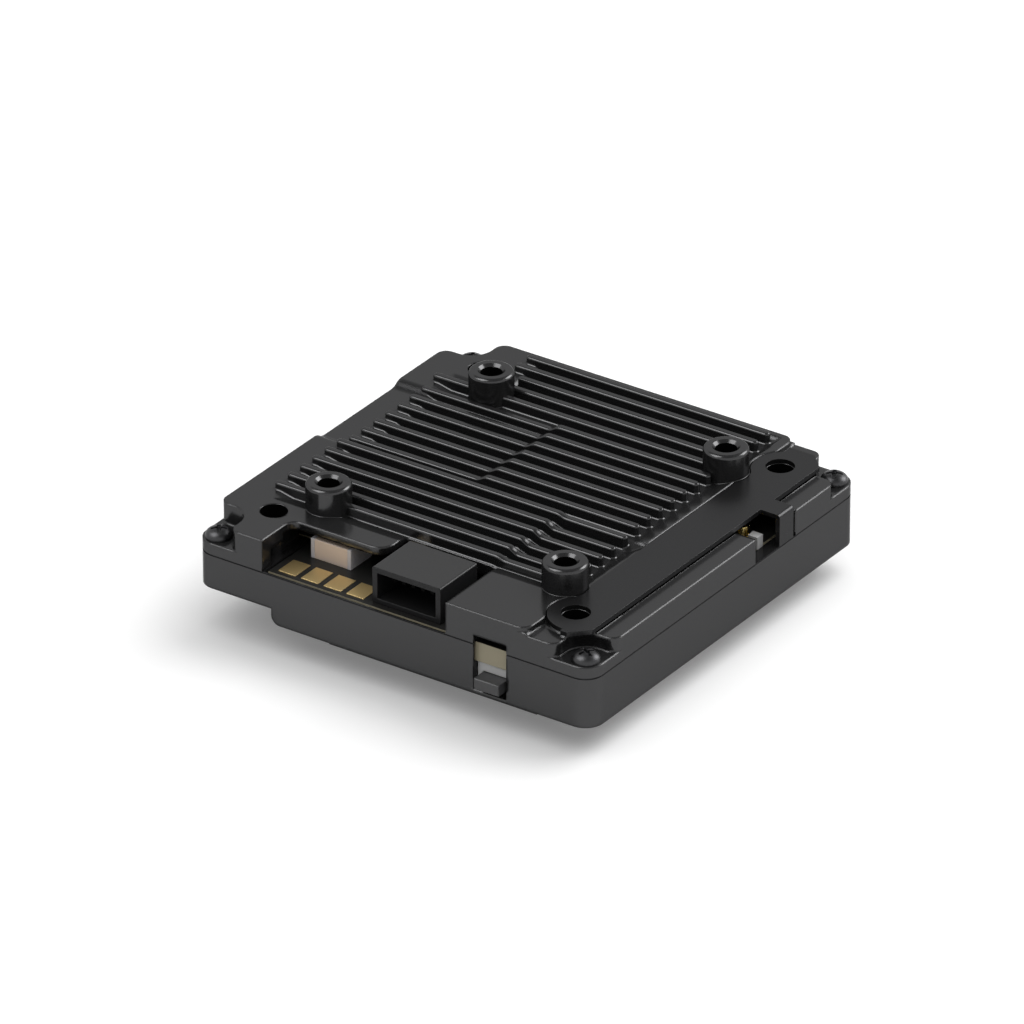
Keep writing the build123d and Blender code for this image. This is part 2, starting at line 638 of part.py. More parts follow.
def board_outline(gap):
    """Plan of the main board, grown by a gap."""
    inner = BODY - 2 * WALL - 2 * BOARD_GAP + 2 * gap
    area = Rectangle(inner, inner)
    tongue_y = (BOARD_FRONT_Y - gap)
    area += Pos((BOARD_LEFT_TONGUE_X + BOARD_RIGHT_TONGUE_X) / 2, tongue_y + SWITCH_DEPTH) * Rectangle(
        BOARD_RIGHT_TONGUE_X - BOARD_LEFT_TONGUE_X + 2 * gap, 2 * SWITCH_DEPTH)
    for sx, sy in corners(1):
        cut = HALF - CORNER_INNER + BOARD_GAP - gap
        area -= Pos(sx * (HALF - cut / 2), sy * (HALF - cut / 2)) * Rectangle(cut, cut)
    return area


def tray_room():
    """Everything hollow: the board's bed, the space below it and the well in the foot."""
    reach = HALF - WALL - BOARD_LEDGE
    room = slab(board_outline(BOARD_GAP), BOARD_Z, PARTING_Z + OVER)
    below = span(-reach, reach, -reach, reach, BOTTOM_Z + SHALLOW_H + TRAY_FLOOR_T, BOARD_Z + OVER)
    below += span(SHALLOW_X + WALL, reach, -reach, reach, BOTTOM_Z + TRAY_FLOOR_T, BOARD_Z + OVER)
    below -= corner_blocks(CORNER_INNER, 0, PARTING_Z + OVER)
    well = Pos(FOOT_CENTRE_X, 0) * slab(
        rounded(FOOT_LENGTH - 2 * FOOT_WALL, FOOT_WIDTH - 2 * FOOT_WALL, FOOT_R - FOOT_WALL / 2), FOOT_FLOOR_T,
        BOARD_Z)
    switch_bay = span(WINDOW_LEFT_X, WINDOW_RIGHT_X, -HALF + WALL - OVER, -reach + OVER, SWITCH_Z - 0.05,
                      BOARD_Z + OVER)
    return room + below + well + switch_bay


def lower_shell():
    body = tray_outside() - tray_room()
    body -= window_cut() + back_ports()
    body -= parting_groove(PARTING_Z - GROOVE, PARTING_Z + OVER)
    for hole in rods(FRAME_XY, FRAME_HOLE_R, -OVER, PARTING_Z + OVER):
        body -= hole
    for hole in rods(SCREW_XY, SCREW_SHANK_R + SCREW_FIT, POCKET_Z - SCREW_LENGTH - 0.1, PARTING_Z + OVER):
        body -= hole
    return body


# Main board and what stands on it

def main_board():
    body = slab(board_outline(0), BOARD_Z, PARTING_Z)
    notch = USB_W + 4 * USB_GAP
    body -= span(USB_X - notch / 2, USB_X + notch / 2, HALF - WALL - USB_L - 0.2, HALF, 0, PARTING_Z + OVER)
    return body


def solder_pads():
    first = PAD_FIRST_X
    return Compound([span(first + i * PAD_PITCH - PAD_W / 2, first + i * PAD_PITCH + PAD_W / 2, PAD_FRONT_Y,
                          PAD_FRONT_Y + PAD_L, PARTING_Z, PARTING_Z + PAD_T) for i in range(PAD_COUNT)])


def input_capacitor_body():
    half = CAP_LENGTH / 2 - CAP_END
    return span(CAP_X - half, CAP_X + half, CAP_FRONT_Y, CAP_FRONT_Y + CAP_DEPTH, PARTING_Z, PARTING_Z + CAP_H)


def input_capacitor_terminals():
    ends = []
    for side in (-1, 1):
        inner, outer = CAP_X + side * (CAP_LENGTH / 2 - CAP_END), CAP_X + side * CAP_LENGTH / 2
        ends.append(span(min(inner, outer), max(inner, outer), CAP_FRONT_Y - 0.02, CAP_FRONT_Y + CAP_DEPTH + 0.02,
                         PARTING_Z, PARTING_Z + CAP_H + 0.02))
    return Compound(ends)


def status_led():
    return span(SWITCH_X - LED_W / 2, SWITCH_X + LED_W / 2, LED_Y, LED_Y + LED_D, PARTING_Z, PARTING_Z + LED_H)


def port_box(inset, y0, y1):
    half = PORT_LENGTH / 2 - inset
    return span(PORT_X - half, PORT_X + half, y0, y1, PARTING_Z + inset, PARTING_Z + PORT_H - inset)


def port_connector_housing():
    """Rectangular shroud that opens to the front, with holes for its contacts."""
    back = PORT_FACE_Y + PORT_DEPTH
    body = port_box(0, PORT_FACE_Y, back)
    body = fillet(body.edges().filter_by(Axis.Y), 0.15)
    body -= port_box(PORT_WALL, PORT_FACE_Y - OVER, PORT_FACE_Y + PORT_CAVITY)
    for x in contact_places():
        body -= contact_bar(x, SCREW_FIT)
    return body


def contact_places():
    return [PORT_X + (i - (CONTACT_COUNT - 1) / 2) * CONTACT_PITCH for i in range(CONTACT_COUNT)]


def contact_bar(x, grow=0.0):
    """Straight pin through the shroud's back wall."""
    half = CONTACT_W / 2 + grow
    mid = PARTING_Z + PORT_H / 2
    start = PORT_FACE_Y + PORT_CAVITY - CONTACT_L + CONTACT_TAIL
    end = PORT_FACE_Y + PORT_DEPTH + CONTACT_TAIL / 2
    return span(x - half, x + half, start, end, mid - half, mid + half)


def port_connector_contacts():
    tail_y = PORT_FACE_Y + PORT_DEPTH + CONTACT_TAIL / 2
    pins = []
    for x in contact_places():
        mid = PARTING_Z + PORT_H / 2
        leg = span(x - CONTACT_W / 2, x + CONTACT_W / 2, tail_y - CONTACT_W, tail_y, PARTING_Z, mid + CONTACT_W / 2)
        pins.append(contact_bar(x) + leg)
    return Compound(pins)


def port_connector_tabs():
    """Two solder ears that hold the shroud to the board."""
    ears = []
    for side in (-1, 1):
        inner = PORT_X + side * PORT_LENGTH / 2
        outer = inner + side * TAB_L
        foot = span(min(inner, outer), max(inner, outer), TAB_Y - TAB_W / 2, TAB_Y + TAB_W / 2,
                    PARTING_Z, PARTING_Z + TAB_T)
        wing = inner + side * TAB_T
        ears.append(foot + span(min(inner, wing), max(inner, wing), TAB_Y - TAB_W / 2, TAB_Y + TAB_W / 2,
                                PARTING_Z, PARTING_Z + PORT_H / 2))
    return Compound(ears)


# Link button

def button_box(grow, y0, y1):
    low = SWITCH_Z + BUTTON_RISE
    return span(BUTTON_X - BUTTON_W / 2 - grow, BUTTON_X + BUTTON_W / 2 + grow, y0, y1,
                low - grow, low + BUTTON_H + grow)


def link_button_body():
    body = span(SWITCH_X - SWITCH_LENGTH / 2, SWITCH_X + SWITCH_LENGTH / 2, SWITCH_FACE_Y,
                SWITCH_FACE_Y + SWITCH_DEPTH, SWITCH_Z, BOARD_Z)
    depth = BUTTON_STEM + BUTTON_TRAVEL + BUTTON_CLEAR + DOME_T
    return body - button_box(BUTTON_CLEAR, SWITCH_FACE_Y - OVER, SWITCH_FACE_Y + depth)


def link_button():
    body = button_box(0, -HALF - BUTTON_PROUD, SWITCH_FACE_Y + BUTTON_STEM)
    return fillet(body.faces().sort_by(Axis.Y)[0].edges(), BUTTON_CLEAR * 2)


def link_button_dome():
    back = SWITCH_FACE_Y + BUTTON_STEM + BUTTON_TRAVEL + BUTTON_CLEAR
    return button_box(0, back, back + DOME_T)


# Coax sockets and their neighbours

def antenna_receptacles():
    sockets = []
    for i in range(SOCKET_COUNT):
        place = Pos(SOCKET_X, SOCKET_FIRST_Y + i * SOCKET_PITCH)
        base = slab(Rectangle(SOCKET_BASE, SOCKET_BASE), PARTING_Z, PARTING_Z + SOCKET_BASE_H)
        low, high = PARTING_Z + SOCKET_BASE_H, PARTING_Z + SOCKET_BASE_H + SOCKET_RING_H
        ring = slab(Circle(SOCKET_RING_R) - Circle(SOCKET_RING_R - SOCKET_RING_WALL), low, high)
        pin = slab(Rectangle(2 * SOCKET_PIN_R, 2 * SOCKET_PIN_R), low, high)
        sockets.append(place * (base + ring + pin))
    return Compound(sockets)


def clamp_pad():
    return span(CLAMP_X, CLAMP_X + CLAMP_W, CLAMP_Y, CLAMP_Y + CLAMP_L, PARTING_Z, PARTING_Z + CLAMP_H)


def camera_receptacle():
    """Low board connector with a long slot, for the camera's flat lead."""
    mid = (CHANNEL_LEFT_X + CHANNEL_RIGHT_X) / 2
    body = span(mid - CAMERA_DEPTH / 2, mid + CAMERA_DEPTH / 2, CAMERA_Y - CAMERA_LENGTH / 2,
                CAMERA_Y + CAMERA_LENGTH / 2, PARTING_Z, PARTING_Z + CAMERA_H)
    wall = CAMERA_H / 3
    body -= span(mid - CAMERA_DEPTH / 2 + wall, mid + CAMERA_DEPTH / 2 - wall, CAMERA_Y - CAMERA_LENGTH / 2 + wall,
                 CAMERA_Y + CAMERA_LENGTH / 2 - wall, PARTING_Z + wall, DECK_Z)
    return body


# Data socket and memory card slot

def usb_tube(inset, y0, y1):
    face = Plane(origin=(USB_X, y0, USB_Z), x_dir=(-1, 0, 0), z_dir=(0, 1, 0)) * rounded(
        USB_W - 2 * inset, USB_H - 2 * inset, USB_R - inset)
    return extrude(face, amount=y1 - y0)


def usb_receptacle_shell():
    back = HALF - 0.15
    front = back - USB_L
    tube = usb_tube(0, front, back) - usb_tube(USB_WALL, front + USB_WALL, back + OVER)
    leg_w = 2 * USB_GAP + USB_WALL
    for side in (-1, 1):
        outer = USB_X + side * (USB_W / 2 + leg_w)
        inner = USB_X + side * (USB_W / 2 - USB_WALL / 2)
        tube += span(min(outer, inner), max(outer, inner), front + USB_L / 4, front + USB_L / 2,
                     PARTING_Z, PARTING_Z + USB_WALL)
    return tube


def usb_tongue():
    back = HALF - 0.15
    base = usb_tube(USB_WALL, back - USB_L + USB_WALL, back - USB_L + USB_WALL + USB_BASE_L)
    blade = span(USB_X - USB_TONGUE_W / 2, USB_X + USB_TONGUE_W / 2, back - USB_L + USB_WALL,
                 back - USB_L + USB_WALL + USB_BASE_L + USB_TONGUE_L, USB_Z - USB_TONGUE_T / 2,
                 USB_Z + USB_TONGUE_T / 2)
    return base + blade


def card_slot_shell():
    back = HALF - WALL - 0.3
    x0, x1 = CARD_X - CARD_W / 2, CARD_X + CARD_W / 2
    body = span(x0, x1, back - CARD_L, back, PARTING_Z, PARTING_Z + CARD_H)
    body -= span(x0 + CARD_WALL, x1 - CARD_WALL, back - CARD_L + CARD_WALL, back + OVER, PARTING_Z - OVER,
                 PARTING_Z + CARD_H - CARD_WALL)
    return body


def card_slot_contacts():
    """Row of spring fingers under the card."""
    y0 = HALF - WALL - 0.3 - CARD_L + CARD_WALL
    first = CARD_X - (CARD_CONTACTS - 1) / 2 * CARD_CONTACT_PITCH
    return Compound([span(first + i * CARD_CONTACT_PITCH - 0.25, first + i * CARD_CONTACT_PITCH + 0.25, y0,
                          y0 + 3.0, PARTING_Z, PARTING_Z + CARD_WALL) for i in range(CARD_CONTACTS)])


# Chips and passive parts

def block(x, y, width, length, low, height):
    return Pos(x, y, low) * Box(width, length, height, align=(Align.CENTER, Align.CENTER, Align.MIN))


def processor():
    return block(CPU_X, CPU_Y, CPU_SIZE, CPU_SIZE, PARTING_Z, CPU_H)


def thermal_pad_upper():
    return block(CPU_X, CPU_Y, CPU_SIZE - 1, CPU_SIZE - 1, PARTING_Z + CPU_H, CEILING_Z - PARTING_Z - CPU_H)


def memory_chips():
    return Compound([block(RAM_X, RAM_Y + side * (RAM_L + 0.6) / 2, RAM_W, RAM_L, PARTING_Z, RAM_H)
                     for side in (-1, 1)])


def power_inductors():
    return Compound([chamfer(block(COIL_X, COIL_Y + i * COIL_PITCH, COIL_SIZE, COIL_SIZE, PARTING_Z, COIL_H)
                             .edges().filter_by(Axis.Z), 0.35) for i in range(COIL_COUNT)])


def crystal():
    return block(CRYSTAL_X, CRYSTAL_Y, CRYSTAL_W, CRYSTAL_L, PARTING_Z, CRYSTAL_H)


def small_capacitors():
    return Compound([block(SMALL_CAP_X + i * SMALL_CAP_PITCH, SMALL_CAP_Y, SMALL_CAP_W, SMALL_CAP_D,
                           PARTING_Z, SMALL_CAP_H) for i in range(SMALL_CAP_COUNT)])


# Radio board under the main board

def radio_board():
    body = block(RADIO_X, RADIO_Y, RADIO_LENGTH, RADIO_WIDTH, RADIO_Z, RADIO_T)
    return chamfer(body.edges().filter_by(Axis.Z), 0.8)


def link_frame(low, high, base_low, base_high, grow):
    outer = block(RADIO_X, RADIO_Y, LINK_L - 2 * grow, LINK_W - 2 * grow, low, high - low)
    outer -= block(RADIO_X, RADIO_Y, LINK_L - 2 * grow - 2 * LINK_WALL, LINK_W - 2 * grow - 2 * LINK_WALL, low - OVER,
                   high - low + 2 * OVER)
    return outer + block(RADIO_X, RADIO_Y, LINK_L - 2 * grow, LINK_W - 2 * grow, base_low, base_high - base_low)


def board_link_receptacle():
    low = BOARD_Z - LINK_H
    return link_frame(low, BOARD_Z - LINK_BASE_T - LINK_CLEAR, low, low + LINK_BASE_T, 0)


def board_link_plug():
    low = BOARD_Z - LINK_H + LINK_BASE_T + LINK_CLEAR
    return link_frame(low, BOARD_Z, BOARD_Z - LINK_BASE_T, BOARD_Z, LINK_WALL + LINK_CLEAR)


def shield_can():
    body = block(RADIO_X, SHIELD_Y, SHIELD_L, SHIELD_W, SHIELD_Z, SHIELD_H)
    body = fillet(body.edges().filter_by(Axis.Z), 0.4)
    return body - block(RADIO_X, SHIELD_Y, SHIELD_L - 2 * SHIELD_T, SHIELD_W - 2 * SHIELD_T, SHIELD_Z + SHIELD_T,
                        SHIELD_H)


def rf_transceiver():
    return block(RADIO_X, SHIELD_Y, RADIO_CHIP, RADIO_CHIP, RADIO_Z - RADIO_CHIP_H, RADIO_CHIP_H)


def power_amplifiers():
    return Compound([block(RADIO_X + side * AMP_PITCH / 2, AMP_Y, AMP_SIZE, AMP_SIZE, RADIO_Z - AMP_H, AMP_H)
                     for side in (-1, 1)])


def thermal_pad_lower():
    return block(RADIO_X, SHIELD_Y, SHIELD_L - 1.5, SHIELD_W - 1.5, FOOT_FLOOR_T, SHIELD_Z - FOOT_FLOOR_T)


PIECES = {
    "upper_shell": upper_shell, "lower_shell": lower_shell, "retaining_plate": retaining_plate,
    "shell_screws": shell_screws, "main_board": main_board, "radio_board": radio_board,
    "board_link_receptacle": board_link_receptacle, "board_link_plug": board_link_plug,
    "port_connector_housing": port_connector_housing, "port_connector_contacts": port_connector_contacts,
    "port_connector_tabs": port_connector_tabs, "solder_pads": solder_pads,
    "input_capacitor_body": input_capacitor_body, "input_capacitor_terminals": input_capacitor_terminals,
    "status_led": status_led, "link_button_body": link_button_body, "link_button": link_button,
    "link_button_dome": link_button_dome, "usb_receptacle_shell": usb_receptacle_shell, "usb_tongue": usb_tongue,
    "card_slot_shell": card_slot_shell, "card_slot_contacts": card_slot_contacts,
    "antenna_receptacles": antenna_receptacles, "camera_receptacle": camera_receptacle, "clamp_pad": clamp_pad,
    "processor": processor, "memory_chips": memory_chips, "rf_transceiver": rf_transceiver,
    "power_amplifiers": power_amplifiers, "shield_can": shield_can, "power_inductors": power_inductors,
    "thermal_pad_upper": thermal_pad_upper, "thermal_pad_lower": thermal_pad_lower, "crystal": crystal,
    "small_capacitors": small_capacitors,
}

os.makedirs("parts", exist_ok=True)
for name, make in PIECES.items():
    export_step(make(), f"parts/{name}.step")
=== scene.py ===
# %% [markdown]
# # A finned transmitter module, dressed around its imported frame
#
# The solids come from the part's own model. This file gives them their looks: the fins and bosses of the
# upper casting are grown by rules with Geometry Nodes, the screws get real heads, and everything gets a
# finish and a studio. Blender works in metres, and MM turns the drawing's millimetres into them.

import json
import math
from functools import partial

import bmesh
import bpy
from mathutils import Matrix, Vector


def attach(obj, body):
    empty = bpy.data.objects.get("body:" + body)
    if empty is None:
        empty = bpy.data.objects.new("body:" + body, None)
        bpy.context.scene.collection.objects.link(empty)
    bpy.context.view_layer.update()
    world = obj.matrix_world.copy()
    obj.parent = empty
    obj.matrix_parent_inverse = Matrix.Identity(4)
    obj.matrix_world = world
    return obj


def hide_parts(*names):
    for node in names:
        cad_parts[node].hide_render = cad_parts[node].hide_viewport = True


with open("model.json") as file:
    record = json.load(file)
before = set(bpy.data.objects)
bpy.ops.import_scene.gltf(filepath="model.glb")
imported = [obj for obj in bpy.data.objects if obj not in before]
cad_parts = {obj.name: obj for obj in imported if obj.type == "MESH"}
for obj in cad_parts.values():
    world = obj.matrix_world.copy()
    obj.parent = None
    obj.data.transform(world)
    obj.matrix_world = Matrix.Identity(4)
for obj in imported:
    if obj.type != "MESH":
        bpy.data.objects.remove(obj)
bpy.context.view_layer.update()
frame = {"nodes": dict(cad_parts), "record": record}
nodes = frame["nodes"]
MM = 0.001


def write_size():
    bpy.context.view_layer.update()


write_size()

# %% [markdown]
# ## Writing nodes in a script
#
# Shaders and Geometry Nodes are both trees of nodes. They could be drawn by hand in the editor, but a
# script can be read and repeated. Four small helpers keep it short: they make a node, set its inputs by
# name, and link an input where the value given is another node's output.

# %% Helpers that write nodes
def grey(shade):
    """A plain grey, as red, green, blue and alpha."""
    return (shade, shade, shade, 1)


def fill(tree, node, inputs):
    """Sets a node's inputs: a value goes on the socket, the output of another node is linked to it."""
    for label, value in inputs.items():
        if isinstance(value, bpy.types.NodeSocket):
            tree.links.new(value, node.inputs[label])
        else:
            node.inputs[label].default_value = value


def add_node(tree, kind, inputs=None, **settings):
    """A new node. Its settings come before its inputs, because some of them change its sockets."""
    node = tree.nodes.new(kind)
    for label, value in settings.items():
        setattr(node, label, value)
    fill(tree, node, inputs or {})
    return node


def calculate(tree, operation, *values):
    """The result of one maths node."""
    return add_node(tree, "ShaderNodeMath", dict(enumerate(values)), operation=operation).outputs[0]


print("node helpers ready")

# %% [markdown]
# ## Finishes
#
# The castings wear a thin dark coat over metal, and the small parts show their own metal, plastic or
# ceramic. They could be painted with textures, but at this size one Principled shader for each is enough,
# and one helper makes them all. A fine noise in Object coordinates moves the roughness a little, because no
# real coat is perfectly even. A Bevel node bends the shading at every edge, as casting and tumbling round
# it, so that edges catch the light without added faces.

# %% A helper that makes a finish
NOISE_DETAIL, BEVEL_SAMPLES = 3, 12


def finish(name, colour, roughness, metallic=0.0, grain=0.0, bump=0.0, edge=0.0, ior=1.5, spread=0.12,
           tint=1.0):
    """One Principled finish.

    Grain is the scale of the noise in grains per millimetre, and spread is how far it moves the roughness.
    Bump is the height of its relief and edge the radius of the soft edges, both in millimetres."""
    material = bpy.data.materials.new(name)
    material.use_nodes = True
    tree = material.node_tree
    shader = tree.nodes["Principled BSDF"]
    fill(tree, shader, {"Base Color": (*colour, 1), "Roughness": roughness, "Metallic": metallic, "IOR": ior,
                        "Specular Tint": grey(tint)})
    normal = {}
    if edge:
        soft_edge = add_node(tree, "ShaderNodeBevel", {"Radius": edge * MM}, samples=BEVEL_SAMPLES)
        normal = {"Normal": soft_edge.outputs["Normal"]}
    if grain:
        place = add_node(tree, "ShaderNodeTexCoord").outputs["Object"]
        noise = add_node(tree, "ShaderNodeTexNoise", {
            "Vector": place, "Scale": grain / MM, "Detail": NOISE_DETAIL}).outputs["Fac"]
        vary = add_node(tree, "ShaderNodeMapRange", {
            "Value": noise, "To Min": roughness * (1 - spread), "To Max": min(1, roughness * (1 + spread))})
        fill(tree, shader, {"Roughness": vary.outputs["Result"]})
        if bump:
            relief = add_node(tree, "ShaderNodeBump", {
                "Strength": 1.0, "Distance": bump * MM, "Height": noise, **normal})
            normal = {"Normal": relief.outputs["Normal"]}
    fill(tree, shader, normal)
    return material


print("finish helper ready")

# %% One finish for each material slot
COAT = {"colour": (0.062, 0.062, 0.063), "roughness": 0.19, "metallic": 0.8, "grain": 3, "ior": 1.3,
        "spread": 0.06, "tint": 0.45}
FINISHES = {
    "cast_dark": finish("dark cast coat", **COAT, edge=0.32),
    "plate_steel": finish("dark sheet coat", (0.040, 0.040, 0.041), 0.28, metallic=0.8, grain=3, edge=0.03,
                          ior=1.3, spread=0.06, tint=0.5),
    "screw_steel": finish("blackened steel", (0.055, 0.055, 0.057), 0.38, metallic=1.0, grain=8, edge=0.03),
    "board_fibre": finish("solder mask", (0.008, 0.009, 0.009), 0.30, grain=5, edge=0.04, ior=1.3),
    "black_plastic": finish("black plastic", (0.014, 0.014, 0.0145), 0.36, grain=6, edge=0.08, ior=1.3),
    "white_plastic": finish("white plastic", (0.76, 0.76, 0.75), 0.42, grain=10, edge=0.06),
    "tin_metal": finish("tin", (0.66, 0.66, 0.66), 0.28, metallic=1.0, grain=6, edge=0.06),
    "gold_plate": finish("gold plate", (0.70, 0.52, 0.24), 0.36, metallic=0.85, grain=6, bump=0.004,
                         edge=0.05),
    "ceramic_pink": finish("capacitor ceramic", (0.90, 0.74, 0.62), 0.40, grain=8, edge=0.10),
    "led_lens": finish("clear resin", (0.70, 0.72, 0.66), 0.20, edge=0.06),
    "shield_metal": finish("nickel silver", (0.42, 0.42, 0.42), 0.34, metallic=1.0, grain=6, edge=0.05),
    "foam_grey": finish("grey foam", (0.44, 0.44, 0.44), 0.90, grain=6, bump=0.01),
    "chip_black": finish("chip epoxy", (0.02, 0.02, 0.021), 0.55, grain=12, bump=0.001, edge=0.05),
    "ferrite_grey": finish("ferrite", (0.05, 0.05, 0.052), 0.60, grain=8, edge=0.05),
    "pad_blue": finish("silicone pad", (0.16, 0.27, 0.42), 0.80, grain=8),
}
print("finishes:", len(FINISHES))

# %% Which finish each piece wears
slot_of = {part["node"]: part["material_slot"] for part in frame["record"]["subparts"]}
own_finish = {
    "link_button": finish("grey button", (0.06, 0.06, 0.062), 0.35, edge=0.06),
    "input_capacitor_terminals": finish("soldered end", (0.72, 0.70, 0.73), 0.5, edge=0.08),
    "antenna_receptacles": finish("bright gold", (0.90, 0.70, 0.28), 0.25, metallic=1.0, edge=0.04),
}
# The tin of the connector's contacts and tabs is painted near black: painted shade of the connector's cavity.
for name in ("port_connector_contacts", "port_connector_tabs"):
    own_finish[name] = finish("dark tin of " + name, (0.008, 0.008, 0.008), 0.6, metallic=1.0)
for name, node in nodes.items():
    node.data.materials.clear()
    node.data.materials.append(own_finish.get(name, FINISHES[slot_of[name]]))
print("pieces with a finish of their own:", sorted(own_finish))

# %% [markdown]
# ## The board's cut edge
#
# A board is dark on its two faces and shows the cream of its glass fibre where it is cut. A second material
# on the edge's faces would do, but the shader can read the surface's own direction, so one material serves
# both: faces that look up or down are mask, the rest is fibre.

# %% Board material
FIBRE, MASK = (0.50, 0.45, 0.32, 1), (0.016, 0.016, 0.015, 1)
LOOKS_UP = 0.5
board = FINISHES["board_fibre"].node_tree
facing = add_node(board, "ShaderNodeNewGeometry").outputs["True Normal"]
facing_z = add_node(board, "ShaderNodeSeparateXYZ", {"Vector": facing}).outputs["Z"]
is_face = calculate(board, "GREATER_THAN", calculate(board, "ABSOLUTE", facing_z), LOOKS_UP)
fibre_or_mask = add_node(board, "ShaderNodeMix", {"Factor": is_face, "A": FIBRE, "B": MASK}, data_type="RGBA")
fill(board, board.nodes["Principled BSDF"], {"Base Color": fibre_or_mask.outputs["Result"]})
print("board material:", len(board.nodes), "nodes")

# %% [markdown]
# ## Crisp lips at the parting line
#
# The two castings meet at a fine groove, which shows as a dark line all round. The Bevel node would blur
# its thin lips. Real bevels with crisp lips would need many new faces, so the coat uses the plain normal
# within a short distance of the line and the softened one everywhere else.

# %% Plain normals beside the groove
HALF, DECK_Z = 16.75, 8.65
PARTING_Z, LIP = DECK_Z - 2.5, 0.3
coat = FINISHES["cast_dark"].node_tree
soft_normal = next(node for node in coat.nodes if node.type == "BEVEL").outputs["Normal"]
where = add_node(coat, "ShaderNodeTexCoord").outputs["Object"]
place_z = add_node(coat, "ShaderNodeSeparateXYZ", {"Vector": where}).outputs["Z"]
from_line = calculate(coat, "ABSOLUTE", calculate(coat, "SUBTRACT", place_z, PARTING_Z * MM))
pick = add_node(coat, "ShaderNodeMix", {"Factor": calculate(coat, "LESS_THAN", from_line, LIP * MM)},
                data_type="VECTOR")
# A Mix node also has a vector socket for its factor, so the two that are mixed are the last ones.
away, close = [socket for socket in pick.inputs if socket.type == "VECTOR"][-2:]
coat.links.new(soft_normal, away)
coat.links.new(add_node(coat, "ShaderNodeNewGeometry").outputs["Normal"], close)
picked = next(socket for socket in pick.outputs if socket.type == "VECTOR")
fill(coat, coat.nodes["Principled BSDF"], {"Normal": picked})
print("coat:", len(coat.nodes), "nodes")

# %% [markdown]
# ## The rule behind the fins
#
# Eighteen fins stand in a shallow valley whose floor drops in two places. They could be modelled one by
# one, but they follow one rule, so two node groups hold it: one gives the height of the ground at any
# place, the other places every point of every fin on it. Each fin is a ring of points (once round its
# outline) times a ladder of levels (concave foot, straight wall, rounded crest). The numbers repeat the
# part's own named values, in millimetres, where it has them. Fins are counted from 0 at the front.

# %% The part's values that the rule needs
BOSS_XY = HALF - 6.75
VALLEY_DEPTH, FIELD_DROP, FIELD_RAMP, VALLEY_SLOPE = 0.25, 0.4, 1.1, 1.15
FIN_TOP_Z, FIN_COUNT, FIN_T, FIN_EDGE_R, FOOT_R = 9.2, 18, 0.6, 0.17, 0.12
FIRST_FIN_Y, LAST_FIN_Y = -HALF + 6.95, HALF - 1.22
FIN_PITCH = (LAST_FIN_Y - FIRST_FIN_Y) / (FIN_COUNT - 1)
FIN_LEFT_X, FIN_RIGHT_X, BACK_FIN_X, SHORT_FIN_X = -HALF + 2.1, BOSS_XY, -HALF + 6.05, -HALF + 7.35
FIRST_SHORT_FIN, FIRST_BACK_FIN = 14, 16
print("fins every", round(FIN_PITCH, 3), "mm")

# %% The two lower fields, one on the left and one on the right side
FIELD_FIRST_FIN, FIELD_LAST_FIN, SIDE_LAST_FIN = 6, 12, 5
FIELD_RIGHT_X, SIDE_LEFT_X = -HALF + 13.55, HALF - 12.15
FIELD_FRONT_Y, FIELD_BACK_Y = FIRST_FIN_Y + 5.5 * FIN_PITCH, FIRST_FIN_Y + 11.85 * FIN_PITCH
SIDE_FRONT_Y, SIDE_BACK_Y = FIRST_FIN_Y, FIRST_FIN_Y + SIDE_LAST_FIN * FIN_PITCH
BED_X = HALF - 5.4
HALF_RAMP = FIELD_RAMP / 2
print("left field", round(FIELD_BACK_Y - FIELD_FRONT_Y, 2), "mm deep, right field",
      round(SIDE_BACK_Y - SIDE_FRONT_Y, 2), "mm deep")


# %% Node arithmetic that the rule uses
def arithmetic(tree):
    """Six sums, each of which writes one maths node into this tree."""
    operations = ("ADD", "SUBTRACT", "MULTIPLY", "MULTIPLY_ADD", "SINE", "COSINE")
    return [partial(calculate, tree, operation) for operation in operations]


def limited(tree, value):
    """The value held between 0 and 1."""
    return calculate(tree, "MINIMUM", calculate(tree, "MAXIMUM", value, 0.0), 1.0)


def outside(tree, x, y, x0, x1, y0, y1):
    """How far a place lies outside a rectangle, negative inside."""
    dx = calculate(tree, "MAXIMUM", calculate(tree, "SUBTRACT", x0, x), calculate(tree, "SUBTRACT", x, x1))
    dy = calculate(tree, "MAXIMUM", calculate(tree, "SUBTRACT", y0, y), calculate(tree, "SUBTRACT", y, y1))
    return calculate(tree, "MAXIMUM", dx, dy)


def soft_step(tree, value, low, high):
    """0 below low, 1 above high, with a soft S between."""
    return add_node(tree, "ShaderNodeMapRange", {"Value": value, "From Min": low, "From Max": high},
                    interpolation_type="SMOOTHERSTEP").outputs["Result"]


FLOAT, WHOLE, OBJECT, GEOMETRY = ("NodeSocket" + kind for kind in ("Float", "Int", "Object", "Geometry"))


def new_group(name, inputs, outputs):
    """A node group with its input and output nodes. Its sockets are given as name and kind."""
    group = bpy.data.node_groups.new(name, "GeometryNodeTree")
    for in_out, sockets in (("INPUT", inputs), ("OUTPUT", outputs)):
        for label, kind in sockets.items():
            group.interface.new_socket(label, in_out=in_out, socket_type=kind)
    return group, group.nodes.new("NodeGroupInput"), group.nodes.new("NodeGroupOutput")


print("arithmetic ready")

# %% [markdown]
# ## The ground between the fins
#
# Soft ramps join the valley's levels, as castings usually have. A height map could be drawn, but the ground
# is the lowest of a few simple slopes, and a node group can work that out at any place. The fins and the
# bosses then ask the same group where they stand.

